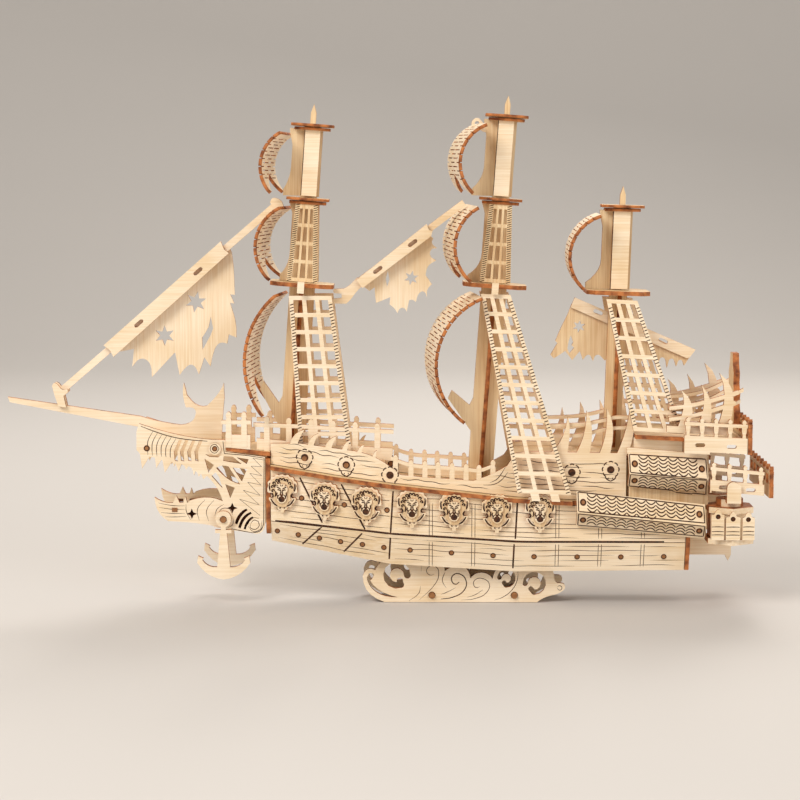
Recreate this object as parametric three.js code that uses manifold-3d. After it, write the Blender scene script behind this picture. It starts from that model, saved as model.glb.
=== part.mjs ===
// Wooden 3D jigsaw model: a monster-headed pirate ship of laser-cut plywood on a wave stand.
//
// Millimetres. +X runs to the stern, +Y to starboard, +Z up. Z = 0 is the underside of the
// stand, and X = 0, Y = 0 is the middle of the model's box. The bow is the monster's head.
// Every plate is a flat outline cut from one thickness of ply, except the main deck, the
// strakes and the sail bands, which are bent on assembly.

import * as THREE from 'three';
import { mergeVertices } from 'three/addons/utils/BufferGeometryUtils.js';
import Module from 'manifold-3d';

const wasm = await Module();
wasm.setup();

// ---------------------------------------------------------------- driving dimensions

const PLY = 2;                  // thickness of every plate
const GAP = 0.3;                // clearance between two pieces that touch
const PIN_CLEARANCE = 0.35;     // radial play of the anchors on their pin

const BOWSPRIT_TIP = -183;      // foremost point, along X in the ship's own stations
const TRANSOM_AFT = 180;        // aftermost point of the stern gallery
const BOW_BREAK = 1;            // station where the straight sides start to close in
const BOW_END = -56;            // station where the strakes stop at the bow frame
const STERN_END = 140;          // station where the strakes stop at the stern frame
const BOW_NARROWING = 6.5;      // how far each side has closed in at BOW_END

const WALE_HALF = 24;           // half width of the main deck, whose edge is the wale
const STERN_DECK_HALF = 21.7;   // half width of the main deck under the roofs
const GUN_OUTER = 22;           // outer face of the gun strake
const BILGE_OUTER = 18;         // outer face of the bilge strake at its lower edge
const BULWARK_OUTER = 19;       // outer face of the bulwark
const HEAD_OUTER = 14;          // outer face of the monster's cheek plates
const ANCHOR_OUTER = 16.9;      // outer face of the anchors
const GALLERY_OUTER = 28;       // outer face of both gallery rails
const SPIKE_OUTER = 25.4;       // outer face of the stern tusk rails
const STAND_OUTER = 10.5;       // outer face of the stand's wave plates

const SHEER = [[BOW_END, 67], [-25, 62.3], [BOW_BREAK, 59.1], [60, 52.5], [88, 51.1], [STERN_END, 49.2]];
const GUN_FOOT = [[BOW_END, 40.4], [BOW_BREAK, 35.3], [60, 31.5], [STERN_END, 31.5]];
const BILGE_FOOT = [[BOW_END, 30.2], [BOW_BREAK, 20.1], [60, 16.6], [STERN_END, 17.4]];
const ROOF_START = 86.5;        // station where the roofs begin and the wale ends

const FORECASTLE_Z = 73.1;      // top of the forecastle deck at the bow frame
const FORECASTLE_DROP = 0.125;  // its fall per millimetre towards the stern
const QUARTERDECK_Z = 72;       // top of the quarter deck
const POOP_Z = 83;              // top of the poop deck at its fore end
const POOP_DROP = 0.055;        // its fall per millimetre towards the stern

const JAW_PIN = { x: -78.6, z: 41.2, radius: 1.4 };
const ANCHOR_LENGTH = 29;       // jaw pin to the crown of the anchor
const ANCHOR_SPAN = 25.2;       // across the anchor's two arms

const STAND_FOOT = [-2, 71];    // stations between which the stand rests on its flat edge
const STAND_TOP = 24;           // height of the stand's plates inside the hull
const DOWEL_RADIUS = 1.5;
const DOWEL_STATIONS = [20.6, 60.1];

// Each mast: foot station and height, rake in degrees, heights of the platforms and of the
// pole along the mast, and the turn of its sail bands about it.
const FORE = { x: -47.2, z: 69.2, rake: 4.1, low: 82, mid: 122.4, top: 156.5, tip: 168, turn: 5 };
const MAIN = { x: 43.3, z: 55.2, rake: 4.0, low: 95.6, mid: 136.3, top: 174.8, tip: 186, turn: -6.4 };
const MIZZEN = { x: 106.9, z: 72.4, rake: 1.8, low: 75, mid: 75, top: 115, tip: 126, turn: 2 };
const MAST_PLATE_HALF = 6;      // half width of a mast plate below its low platform
const MAST_NECK_HALF = 4;       // half width where it passes through a platform
const POLE_HALF = 1.3;
const BAND_WIDTH = 40;          // width of a sail band
const PLATFORM_LOW = { fore: 15, aft: 15, half: 11 };
const PLATFORM_MIZZEN = { fore: 16, aft: 14, half: 13 };

const SHROUD_RUNG = 2;          // width of rungs, uprights and side ropes
const SHROUD_PITCH = 8.2;       // rung spacing
const SHROUD_PLY = 1.5;         // thickness of the shrouds' thinner ply

// ------------------------------------------------------------------------- materials

const wood = (color) => new THREE.MeshStandardMaterial({ color, roughness: 0.62, metalness: 0 });
const PALE_PLY = wood(0xefdcb8);
const SAIL_PLY = wood(0xe9d3ab);
const TAN_PLY = wood(0xd9bd8e);
const BURNT_PLY = wood(0xb9733f);

// --------------------------------------------------------------------------- helpers

// A closed outline: [a, b] is a corner, [ca, cb, a, b] a curved edge with its control point.
function outline(points) {
  const shape = new THREE.Shape();
  shape.moveTo(...points[0]);
  for (const p of points.slice(1)) {
    if (p.length === 4) shape.quadraticCurveTo(...p);
    else shape.lineTo(...p);
  }
  return shape;
}

function rectangle(a0, b0, a1, b1) {
  return outline([[a0, b0], [a1, b0], [a1, b1], [a0, b1]]);
}

function disc(a, b, radius) {
  const shape = new THREE.Shape();
  shape.absarc(a, b, radius, 0, 2 * Math.PI);
  return shape;
}

// A slot with round ends, or a stick, from one point to another.
function stick([a0, b0], [a1, b1], width) {
  const turn = Math.atan2(b1 - b0, a1 - a0);
  const shape = new THREE.Shape();
  shape.absarc(a0, b0, width / 2, turn + Math.PI / 2, turn + 1.5 * Math.PI);
  shape.absarc(a1, b1, width / 2, turn - Math.PI / 2, turn + Math.PI / 2);
  return shape;
}

function star(a, b, radius, points) {
  const corners = [];
  for (let i = 0; i < 2 * points; i += 1) {
    const r = i % 2 ? radius * 0.42 : radius;
    const turn = (Math.PI * i) / points;
    corners.push([a + r * Math.sin(turn), b + r * Math.cos(turn)]);
  }
  return outline(corners);
}

function toSolid(geometry) {
  const bare = geometry.clone();
  bare.deleteAttribute('normal');
  bare.deleteAttribute('uv');
  const merged = mergeVertices(bare, 1e-4);
  return new wasm.Manifold(new wasm.Mesh({
    numProp: 3,
    vertProperties: Float32Array.from(merged.attributes.position.array),
    triVerts: Uint32Array.from(merged.index.array),
  }));
}

function toGeometry(solid) {
  const { vertProperties, triVerts } = solid.getMesh();
  const geometry = new THREE.BufferGeometry();
  geometry.setAttribute('position', new THREE.BufferAttribute(vertProperties, 3));
  geometry.setIndex(new THREE.BufferAttribute(triVerts, 1));
  return geometry;
}

const X = new THREE.Vector3(1, 0, 0);
const Y = new THREE.Vector3(0, 1, 0);
const Z = new THREE.Vector3(0, 0, 1);
const FACING = {
  x: { basis: new THREE.Matrix4().makeBasis(Y, Z, X), offset: (from) => [from, 0, 0] },
  y: { basis: new THREE.Matrix4().makeBasis(X, Z, Y.clone().negate()), offset: (from, to) => [0, to, 0] },
  z: { basis: new THREE.Matrix4().makeBasis(X, Y, Z), offset: (from) => [0, 0, from] },
};

// A flat plate: an outline in the plane whose normal is named, between two levels on it.
function plate(shape, normal, from, to, holes = []) {
  const settings = { depth: to - from, bevelEnabled: false, curveSegments: 5 };
  const geometry = new THREE.ExtrudeGeometry(shape, settings);
  geometry.applyMatrix4(FACING[normal].basis);
  geometry.translate(...FACING[normal].offset(from, to));
  const whole = toSolid(geometry);
  if (holes.length === 0) return whole;
  return whole.subtract(join(...holes.map((hole) => plate(hole, normal, from - 1, to + 1))));
}

// A closed skin over a row of four-cornered sections, all listed the same way round.
function loft(sections) {
  const positions = sections.flat(2);
  const index = [];
  const quad = (a, b, c, d) => index.push(a, b, c, a, c, d);
  for (let i = 0; i + 1 < sections.length; i += 1) {
    for (let k = 0; k < 4; k += 1) {
      const next = (k + 1) % 4;
      quad(4 * i + k, 4 * i + next, 4 * (i + 1) + next, 4 * (i + 1) + k);
    }
  }
  const last = 4 * (sections.length - 1);
  quad(3, 2, 1, 0);
  quad(last, last + 1, last + 2, last + 3);
  const geometry = new THREE.BufferGeometry();
  geometry.setAttribute('position', new THREE.Float32BufferAttribute(positions, 3));
  geometry.setIndex(index);
  return toSolid(geometry);
}

function join(...solids) {
  return solids.reduce((whole, next) => whole.add(next));
}

function mesh(name, solid, material) {
  const piece = new THREE.Mesh(toGeometry(solid), material);
  piece.name = name;
  return piece;
}

function mirrored(geometry) {
  const other = geometry.clone().scale(1, -1, 1);
  const index = other.index.array;
  for (let i = 0; i < index.length; i += 3) {
    [index[i], index[i + 1]] = [index[i + 1], index[i]];
  }
  return other;
}

// A port piece and its starboard twin.
function pair(name, solid, material) {
  const port = mesh(`${name}_port`, solid, material);
  const starboard = new THREE.Mesh(mirrored(port.geometry), material);
  starboard.name = `${name}_starboard`;
  return [port, starboard];
}

function along(line, x) {
  const after = Math.max(1, line.findIndex(([station]) => station >= x));
  const [[x0, z0], [x1, z1]] = [line[after - 1], line[after]];
  return z0 + ((z1 - z0) * (x - x0)) / (x1 - x0);
}

const lifted = (line, rise) => line.map(([x, z]) => [x, z + rise]);
const closingIn = (x) => (BOW_NARROWING * Math.max(0, BOW_BREAK - x)) / (BOW_BREAK - BOW_END);

// Leans the part of a port-side plate that lies before the bow break towards the middle.
function closeBow(solid) {
  const reach = 400;
  const side = (from, to) => plate(rectangle(from, -reach, to, reach), 'y', -reach, reach);
  const geometry = toGeometry(solid.intersect(side(-reach, BOW_BREAK)));
  const position = geometry.attributes.position;
  for (let i = 0; i < position.count; i += 1) {
    position.setY(i, position.getY(i) + closingIn(position.getX(i)));
  }
  return join(toSolid(geometry), solid.intersect(side(BOW_BREAK, reach)));
}

const ship = new THREE.Group();
const stations = [...new Set([...SHEER, ...GUN_FOOT, ...BILGE_FOOT].map(([x]) => x))].sort((a, b) => a - b);

// ------------------------------------------------------------------------------ hull

// The middle plate of the hull, from the bow frame to the fin under the stern turrets.
function keelSpine() {
  const keelZ = 24.5;
  const deck = lifted(SHEER, -PLY - GAP).filter(([x]) => x > BOW_END && x < STERN_END);
  const points = [
    [BOW_END + GAP, along(SHEER, BOW_END) - PLY - 1],
    [BOW_END + GAP, 38], [-30, 30], [0, keelZ + 1], [30, keelZ], [110, keelZ], [134, 21.5],
    [162, 21.5], [163.6, 18.5], [165, 21.5], [165, 30], [STERN_END, 33],
    [STERN_END, along(SHEER, STERN_END) - PLY - 1],
    ...deck.reverse(),
  ];
  const frameSlot = plate(rectangle(STERN_END, 32.5, STERN_END + PLY + 2 * GAP, 60), 'y', -PLY, PLY);
  return plate(outline(points), 'y', -PLY / 2, PLY / 2).subtract(frameSlot);
}

function bowFrame() {
  const half = HEAD_OUTER + 1;
  const foot = 33.5;
  return plate(outline([
    [-half, along(SHEER, BOW_END) + 3], [-half, foot + 4], [-half, foot, 4 - half, foot],
    [half - 4, foot], [half, foot, half, foot + 4], [half, along(SHEER, BOW_END) + 3],
  ]), 'x', BOW_END - GAP - PLY, BOW_END - GAP);
}

function sternFrame() {
  const from = STERN_END + GAP;
  const foot = along(BILGE_FOOT, STERN_END);
  const cap = along(SHEER, STERN_END) - PLY - GAP;
  const knee = along(GUN_FOOT, STERN_END);
  const whole = plate(outline([
    [-BILGE_OUTER, foot], [BILGE_OUTER, foot], [GUN_OUTER, knee], [GUN_OUTER, cap],
    [-GUN_OUTER, cap], [-GUN_OUTER, knee],
  ]), 'x', from, from + PLY);
  const keelSlot = plate(rectangle(from - 1, 0, from + PLY + 1, 33), 'y', -PLY / 2 - GAP, PLY / 2 + GAP);
  return whole.subtract(keelSlot);
}

// The bent main deck. Its edge stands out of the sides as the wale.
function mainDeck() {
  const strip = plate(outline([...SHEER, ...lifted(SHEER, -PLY).reverse()]), 'y', -WALE_HALF, WALE_HALF);
  const bowHalf = WALE_HALF - BOW_NARROWING;
  const half = [
    [BOW_END, bowHalf], [BOW_BREAK, WALE_HALF], [ROOF_START, WALE_HALF],
    [ROOF_START, STERN_DECK_HALF], [STERN_END, STERN_DECK_HALF],
  ];
  const plan = outline([...half, ...half.map(([x, y]) => [x, -y]).reverse()]);
  return strip.intersect(plate(plan, 'z', 0, 100));
}

// A side strake: a plate that follows two lines, each with its own half width.
function strake(head, headOuter, foot, footOuter) {
  return loft(stations.map((x) => {
    const inward = closingIn(x);
    const [top, low] = [along(head, x), along(foot, x)];
    const [yTop, yLow] = [inward - headOuter, inward - footOuter];
    return [[x, yTop, top], [x, yLow, low], [x, yLow + PLY, low], [x, yTop + PLY, top]];
  }));
}

const gunHead = lifted(SHEER, -PLY - GAP);
const bilgeHead = lifted(GUN_FOOT, -GAP);

// A claw on a foot of some width: a curved fore edge and a curved aft edge that meet at its
// tip, each with its own control point.
function claw([x, z], width, tip, fore, aft) {
  return outline([[x, z], [x + width, z], [...aft, ...tip], [...fore, x, z]]);
}

// The bulwark: port-side plate above the wale, with the claws at the bow, the dip of the
// waist and the spikes of the quarter deck cut in one piece with it.
const CLAW_ROOT = 1.5;          // how far a claw's foot reaches down into its plate
const BOW_CLAWS = [
  [[-47, 76.3], [-39.9, 83.9]], [[-38.7, 75.1], [-33.3, 82.2]], [[-30.6, 74], [-24.6, 81.1]],
  [[-22.5, 72.6], [-18.2, 79.2]], [[-15.4, 71.3], [-11.6, 77.3]], [[-7.9, 70.2], [-5.5, 74.6]],
].map(([[x, z], [tipX, tipZ]]) => {
  const [across, rise] = [tipX - x, tipZ - z];
  const width = 1.6 + 0.26 * across;
  const fore = [x + 0.03 * across, z + 0.77 * rise];
  const aft = [x + 0.5 * across, z + 0.3 * rise];
  return claw([x, z - CLAW_ROOT], width, [tipX, tipZ], fore, aft);
});
const DECK_SPIKES = [
  claw([76, 73.4], 8.2, [84.3, 90.8], [82.6, 78], [86.2, 85.4]),
  claw([88.4, 73.4], 6.3, [93.1, 93.6], [93.4, 82.6], [97.4, 86.8]),
  claw([99.4, 73.4], 5, [102.6, 94.5], [103.4, 82.6], [107.6, 87]),
  claw([107.6, 73.2], 5, [113.5, 94.7], [112, 83], [117.6, 85.4]),
];
const BULWARK_TOP = [
  [112, 73.4], [66.6, 74.2], [60, 73.6], [56, 67.5], [48, 62.5, 40, 60.3], [15, 62], [5.5, 63],
  [1, 66.6], [-6.4, 72.5, -16, 74], [-41.8, 77.2], [BOW_END, 77],
];
const PORTHOLES = [[-39.9, 70.6], [-20.1, 67.4], [0.6, 62.9], [86.4, 64.3], [104.7, 65.6]];

function bulwark() {
  const foot = lifted(SHEER, GAP).filter(([x]) => x < 112);
  const body = outline([...foot, [112, along(SHEER, 112) + GAP], ...BULWARK_TOP]);
  const holes = PORTHOLES.map(([x, z]) => disc(x, z, 1.6));
  const levels = [-BULWARK_OUTER, -BULWARK_OUTER + PLY];
  const claws = [...BOW_CLAWS, ...DECK_SPIKES].map((shape) => plate(shape, 'y', ...levels));
  return closeBow(join(plate(body, 'y', ...levels, holes), ...claws));
}

// A sloping flat deck between two stations, `top` being its height at the fore one.
function deckPlate(from, to, top, drop, half) {
  const fall = (to - from) * drop;
  const profile = outline([[from, top], [from, top - PLY], [to, top - PLY - fall], [to, top - fall]]);
  return plate(profile, 'y', -half, half);
}

function forecastleDeck() {
  const [front, back] = [-77.2, BOW_BREAK - 3];
  const rise = (BOW_END - front) * FORECASTLE_DROP;
  const slope = deckPlate(front, back, FORECASTLE_Z + rise, FORECASTLE_DROP, HEAD_OUTER + PLY);
  const inside = (x) => BULWARK_OUTER - PLY - GAP - closingIn(x);
  const half = [
    [front, HEAD_OUTER], [BOW_END - GAP, HEAD_OUTER], [BOW_END - GAP, inside(BOW_END)], [back, inside(back)],
  ];
  const plan = outline([...half, ...half.map(([x, y]) => [x, -y]).reverse()]);
  const mastSlot = plate(rectangle(FORE.x - 7, -1.5, FORE.x + 7, 1.5), 'z', 60, 90);
  return slope.intersect(plate(plan, 'z', 60, 90)).subtract(mastSlot);
}

function quarterDeck() {
  const half = BULWARK_OUTER - PLY - GAP;
  return plate(rectangle(59, -half, 152, half), 'z', QUARTERDECK_Z - PLY, QUARTERDECK_Z);
}

function poopDeck() {
  const inside = GALLERY_OUTER - PLY - GAP;
  const slope = deckPlate(115.6, 166.6, POOP_Z, POOP_DROP, inside);
  const plan = outline([
    [115, -24], [137.6, -24], [137.6, -inside], [167, -inside],
    [167, inside], [137.6, inside], [137.6, 24], [115, 24],
  ]);
  return slope.intersect(plate(plan, 'z', 60, 100));
}

// Two boards that meet at a ridge outboard of the side, open towards the hull.
function roof(from, to, top, ridge, foot, fall) {
  const board = ([y0, z0], [y1, z1]) => {
    const length = Math.hypot(y1 - y0, z1 - z0);
    const across = [((z1 - z0) / length) * PLY, (-(y1 - y0) / length) * PLY];
    const section = (x, drop) => [
      [x, y1, z1 - drop], [x, y0, z0 - drop],
      [x, y0 + across[0], z0 + across[1] - drop], [x, y1 + across[0], z1 + across[1] - drop],
    ];
    return loft([section(from, 0), section(to, fall)]);
  };
  return join(board(ridge, top), board(foot, ridge));
}

function upperRoof() {
  return roof(112.6, 149.6, [-BULWARK_OUTER - 2.3, 74], [-27.6, 65], [-BULWARK_OUTER - 2.5, 58.2], 2.6);
}

function lowerRoof() {
  return roof(88.2, 148.6, [-GUN_OUTER - 2.3, 56.2], [-30, 47], [-GUN_OUTER - 2.5, 39.8], 6.2);
}

// A balustrade cut from one plate: a panel, turned posts and a handrail.
function balustrade({ from, to, panelFoot, panelTop, railZ, step, posts, drop, outer }) {
  const fall = (x) => (x - from) * drop;
  const bar = (low, high) => outline([
    [from, low], [to, low - fall(to)], [to, high - fall(to)], [from, high],
  ]);
  const panel = outline([
    [from, panelFoot], [step, panelFoot - fall(step)], [step, panelFoot + 1 - fall(step)],
    [to, panelFoot + 1 - fall(to)], [to, panelTop - fall(to)], [from, panelTop],
  ]);
  const slots = [0.25, 0.75].map((share) => {
    const x = from + share * (to - from);
    const z = (panelFoot + panelTop) / 2 - fall(x);
    return stick([x - 1.4, z], [x + 1.4, z], 1.8);
  });
  const levels = [-outer, -outer + PLY];
  const columns = Array.from({ length: posts }, (_, i) => {
    const x = from + 1.6 + (i * (to - from - 3.2)) / (posts - 1);
    const foot = panelTop - fall(x) - 0.5;
    const ball = railZ - fall(x) + 3;
    return outline([
      [x - 0.9, foot], [x + 0.9, foot], [x + 0.7, foot + 2], [x + 1.6, (foot + ball) / 2, x + 0.7, ball - 2],
      [x + 1.5, ball - 0.8, x, ball], [x - 1.5, ball - 0.8, x - 0.7, ball - 2],
      [x - 1.6, (foot + ball) / 2, x - 0.7, foot + 2],
    ]);
  });
  return join(
    plate(panel, 'y', ...levels, slots),
    plate(bar(railZ - 0.8, railZ + 0.8), 'y', ...levels),
    ...columns.map((column) => plate(column, 'y', ...levels)),
  );
}

const POOP_RAIL = {
  from: 138, to: 167.4, panelFoot: 74.8, panelTop: 83.2, railZ: 88.8, step: 150, posts: 5,
  drop: 0.052, outer: GALLERY_OUTER,
};
const STERN_RAIL = {
  from: 150.4, to: 175.6, panelFoot: 56.2, panelTop: 62.4, railZ: 67.6, step: 151, posts: 4,
  drop: 0.1, outer: GALLERY_OUTER,
};

// The balustrade across the stern, with a row of posts.
function transom(aft, foot, panelTop, railZ, posts) {
  const half = GALLERY_OUTER;
  const levels = [aft - PLY, aft];
  const columns = Array.from({ length: posts }, (_, i) => {
    const y = -half + 1.6 + (i * (2 * half - 3.2)) / (posts - 1);
    return outline([
      [y - 0.9, panelTop - 0.5], [y + 0.9, panelTop - 0.5], [y + 1.6, railZ - 1, y + 0.7, railZ + 1],
      [y + 1.5, railZ + 2.4, y, railZ + 3.2], [y - 1.5, railZ + 2.4, y - 0.7, railZ + 1],
      [y - 1.6, railZ - 1, y - 0.9, panelTop - 0.5],
    ]);
  });
  return join(
    plate(rectangle(-half, foot, half, panelTop), 'x', ...levels),
    plate(rectangle(-half, railZ - 0.8, half, railZ + 0.8), 'x', ...levels),
    ...columns.map((column) => plate(column, 'x', ...levels)),
  );
}

// A watch turret at a stern corner: a six-sided drum between two plates, with its bracket.
function turret() {
  const centre = [160.8, -19.6];
  const ring = (radius, sides, from, to) => {
    const corners = Array.from({ length: sides }, (_, i) => {
      const turn = (2 * Math.PI * (i + 0.5)) / sides;
      return [centre[0] + radius * Math.cos(turn), centre[1] + radius * Math.sin(turn)];
    });
    return plate(outline(corners), 'z', from, to);
  };
  const bracket = outline([
    [158, 52], [164.6, 52], [164.6, 59.6], [162.5, 61.6, 160.6, 61.6], [158, 61, 158, 58.6],
  ]);
  return join(
    ring(12.3, 6, 31.6, 34.2), ring(11, 6, 34, 46.4), ring(12, 6, 46.2, 49), ring(6.4, 12, 48.8, 52.4),
    plate(bracket, 'y', -GALLERY_OUTER - GAP - PLY, -GALLERY_OUTER - GAP),
    plate(rectangle(158, -GALLERY_OUTER - GAP - PLY, 164.6, -22), 'z', 51.4, 53.4),
  );
}

// The carved board that stands across the poop behind the tusks.
function sternCrest() {
  const side = [
    [9.5, 86], [10.4, 92], [8.2, 96], [9.6, 101], [6.6, 105], [7.4, 110], [4.6, 114], [3.4, 119.4],
  ];
  const points = [...side, ...side.map(([y, z]) => [-y, z]).reverse()];
  return plate(outline(points), 'x', 163.6, 166.6);
}

// The tusk rail on each side of the poop: three tusks on two thin curved bars.
function tuskRail() {
  const levels = [-SPIKE_OUTER, -SPIKE_OUTER + PLY];
  const tusks = [
    claw([134.6, 85], 4.2, [136.4, 104.2], [140, 99], [146.2, 97]),
    claw([143.4, 84.8], 5, [145.9, 106.6], [149.6, 97.4], [154.4, 96.8]),
    claw([152.4, 84.4], 5.8, [154.3, 112], [160, 100], [165.4, 104.6]),
  ];
  const bars = [
    outline([[131, 94.6], [146, 96, 163.6, 102.2], [162.8, 104], [146, 97.8, 131, 96.4]]),
    outline([[131, 89.4], [146, 91, 162.4, 97.4], [161.6, 99.2], [146, 92.8, 131, 91.2]]),
    outline([[130, 84.3], [158, 82.8], [158, 86], [130, 87.4]]),
  ];
  return join(
    ...bars.map((bar) => plate(bar, 'y', ...levels)),
    ...tusks.map((shape) => plate(shape, 'y', ...levels)),
  );
}

// ------------------------------------------------------------------------------ head

// The plate in the middle of the head: bowsprit, brow and the two horns.
function figurehead() {
  return plate(outline([
    [BOWSPRIT_TIP, 97.8], [BOWSPRIT_TIP + 1, 95.3], [-120, 83.4], [-119, 74], [-84, 66], [-66, 66],
    [-66, 71.4], [-78, 72.8], [-80.4, 77.4], [-80.4, 84, -79, 97.3], [-79.2, 104.6],
    [-80.6, 100, -87.4, 93.6], [-92.5, 92, -97, 99], [-97.6, 102, -98.4, 104.6], [-99.6, 99, -97.5, 92.9],
    [-91.6, 93.4, -93, 89], [-94, 84.8, -100, 84.4], [-110, 85.6, -119.7, 88.6],
  ]), 'y', -PLY / 2, PLY / 2);
}

// One cheek of the head: toothed upper jaw, open struts, neck and lower jaw in one plate.
function cheek() {
  const upperJaw = [
    [-118.4, 86.6], [-119.6, 82.7], [-119.7, 74.1], [-118.1, 72.3], [-117.2, 65.2], [-113.6, 70.9],
    [-111, 70.4], [-110.4, 65.4], [-108, 69.4], [-107.4, 69], [-106.4, 63.2], [-103.1, 68.3],
    [-102.4, 68], [-102, 66], [-101.3, 67.7], [-99.8, 63.8], [-98.4, 67.4], [-97, 66.4],
    [-96.3, 64.6], [-95, 66.4], [-93.4, 65.2], [-92.6, 61.9], [-91.8, 63.9], [-91, 63.4],
    [-90.3, 61.2], [-89.2, 62.9], [-88.1, 60], [-86.4, 61.7],
  ];
  const lowerJaw = [
    [-80.8, 56.4, -79, 49.5], [-86, 53, -94.7, 49.8], [-95.9, 48.7], [-96.8, 51.6], [-97.8, 48.7],
    [-99.6, 48.7], [-101.1, 52.1], [-102.7, 48.7], [-107, 48.2, -111.5, 51.3], [-111, 43, -105, 39.9],
    [-92, 39.4, -83.6, 37.6],
  ];
  const neck = [
    [-83, 36.6, -79, 36.6], [-76, 36.6, -74.4, 38], [-75, 35.6], [-62.8, 33.8],
    [-58.8, 34, -58.8, 40.5], [-58.8, 70.8], [-77.5, 73.2], [-77.4, 78.9], [-84, 79],
    [-100, 80.2, -118.4, 86.6],
  ];
  const openings = [
    [[-79.6, 72], [-80.8, 70.6], [-85.1, 70.8], [-87, 72]],
    [[-87.5, 70], [-83, 66.9], [-85.6, 63.2]],
    [[-78.3, 71.2], [-74.1, 70.9], [-69.8, 67.4], [-78.6, 68.9]],
    [[-72.3, 70.6], [-66.5, 69.7], [-67.4, 67.4]],
    [[-82, 65.5], [-79.5, 67.4, -76.1, 66.2], [-70.6, 57.6], [-76.8, 59, -82, 65.5]],
    [[-74.2, 65.7], [-67.3, 65], [-69.8, 59]],
    [[-84.2, 61.7], [-82.2, 63.4], [-80.6, 61], [-79, 55.6]],
    [[-77.7, 57.7], [-73.2, 56], [-75.4, 51]],
    [[-67.9, 46], [-72.2, 44, -73.4, 38.8], [-72.2, 38.2], [-70.6, 43, -67.2, 45.2]],
    [[-65.8, 44.4], [-70.4, 42.8, -71.8, 36.8], [-70.6, 36.4], [-69, 41.8, -65.2, 43.6]],
    [[-64.9, 42.2], [-68.2, 40.8, -69.2, 36.1], [-68.2, 35.9], [-67.2, 39.6, -64.4, 41.4]],
  ].map(outline);
  const gills = [-99.4, -96.4, -93, -89.6].map((x) => outline([
    [x, 79], [x - 2.6, 73.4], [x - 2.2, 69], [x - 0.7, 68.6], [x - 0.9, 73.4], [x + 1.5, 79],
  ]));
  const holes = [
    disc(JAW_PIN.x, JAW_PIN.z, JAW_PIN.radius + GAP), star(-93.8, 43.4, 2.6, 4), star(-74.5, 46.2, 2.6, 4),
    disc(-114.8, 75, 1.2), rectangle(-103.2, 44.2, -100.8, 46.4),
  ];
  const whole = outline([...upperJaw, ...lowerJaw, ...neck]);
  return plate(whole, 'y', -HEAD_OUTER, -HEAD_OUTER + PLY, [...openings, ...gills, ...holes]);
}

// Round bar along Y.
function bar(x, z, radius, half) {
  const geometry = new THREE.CylinderGeometry(radius, radius, 2 * half, 16);
  geometry.translate(x, 0, z);
  return toSolid(geometry);
}

// The anchor hangs from its ring on the jaw pin, the same on both sides of the shank.
function anchor() {
  const { x, z, radius } = JAW_PIN;
  const crown = z - ANCHOR_LENGTH;
  const arm = ANCHOR_SPAN / 2;
  const half = [
    [0, 4], [3.7, 4, 3.7, 0], [3.2, -3, 1.2, -3.6], [1.2, -5], [3.9, -5], [3.9, -6.6], [1.6, -6.6],
    [3.1, crown - z + 6], [7.6, crown - z + 5.6, arm - 2.4, crown - z + 9.4],
    [arm - 3, crown - z + 10.2], [arm - 0.4, crown - z + 11.4], [arm, crown - z + 8],
    [8, crown - z + 0.8, 0, crown - z],
  ];
  const flip = (points) => {
    const ends = points.map((p) => p.slice(-2));
    return points.slice(1).map((p, i) => {
      const [toX, toZ] = ends[i];
      return p.length === 4 ? [-p[0], p[1], -toX, toZ] : [-toX, toZ];
    }).reverse();
  };
  const place = ([...p]) => p.map((value, i) => value + (i % 2 ? z : x));
  const shape = outline([...half, ...flip(half)].map(place));
  return plate(shape, 'y', -ANCHOR_OUTER, -ANCHOR_OUTER + PLY, [disc(x, z, radius + PIN_CLEARANCE)]);
}

// ----------------------------------------------------------------------------- masts

// The middle plate of a mast in its own frame: u aft of the axis, w up it. It narrows to
// a neck through each platform, and each section lists its own front edge.
function mastPlate(mast, sections) {
  const neck = MAST_NECK_HALF;
  const front = sections.flatMap(({ to, front: edge }) => [
    ...edge, [edge[edge.length - 1].slice(-2)[0], to - GAP], [-neck, to - GAP], [-neck, to + PLY + GAP],
  ]);
  const aft = [...sections].reverse().flatMap(({ from, to, back }) => [
    [neck, to + PLY + GAP], [neck, to - GAP], [back, to - GAP], [back, from === 0 ? 0 : from + GAP],
  ]);
  return plate(outline([
    ...front, [-POLE_HALF, mast.top + PLY + GAP], [-POLE_HALF, mast.tip - 4], [0, mast.tip],
    [POLE_HALF, mast.tip - 4], [POLE_HALF, mast.top + PLY + GAP], ...aft,
  ]), 'y', -PLY / 2, PLY / 2);
}

// The arc of a bent strip through three points, as evenly spaced points.
function arcThrough(a, b, c, steps) {
  const [ax, ay, bx, by, cx, cy] = [...a, ...b, ...c];
  const d = 2 * (ax * (by - cy) + bx * (cy - ay) + cx * (ay - by));
  const sq = (x, y) => x * x + y * y;
  const ox = (sq(ax, ay) * (by - cy) + sq(bx, by) * (cy - ay) + sq(cx, cy) * (ay - by)) / d;
  const oy = (sq(ax, ay) * (cx - bx) + sq(bx, by) * (ax - cx) + sq(cx, cy) * (bx - ax)) / d;
  const radius = Math.hypot(ax - ox, ay - oy);
  const angle = (x, y) => (Math.atan2(y - oy, x - ox) + 2 * Math.PI) % (2 * Math.PI);
  const [start, end] = [angle(ax, ay), angle(cx, cy)];
  return Array.from({ length: steps + 1 }, (_, i) => {
    const turn = start + ((end - start) * i) / steps;
    return [ox + radius * Math.cos(turn), oy + radius * Math.sin(turn)];
  });
}

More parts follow.
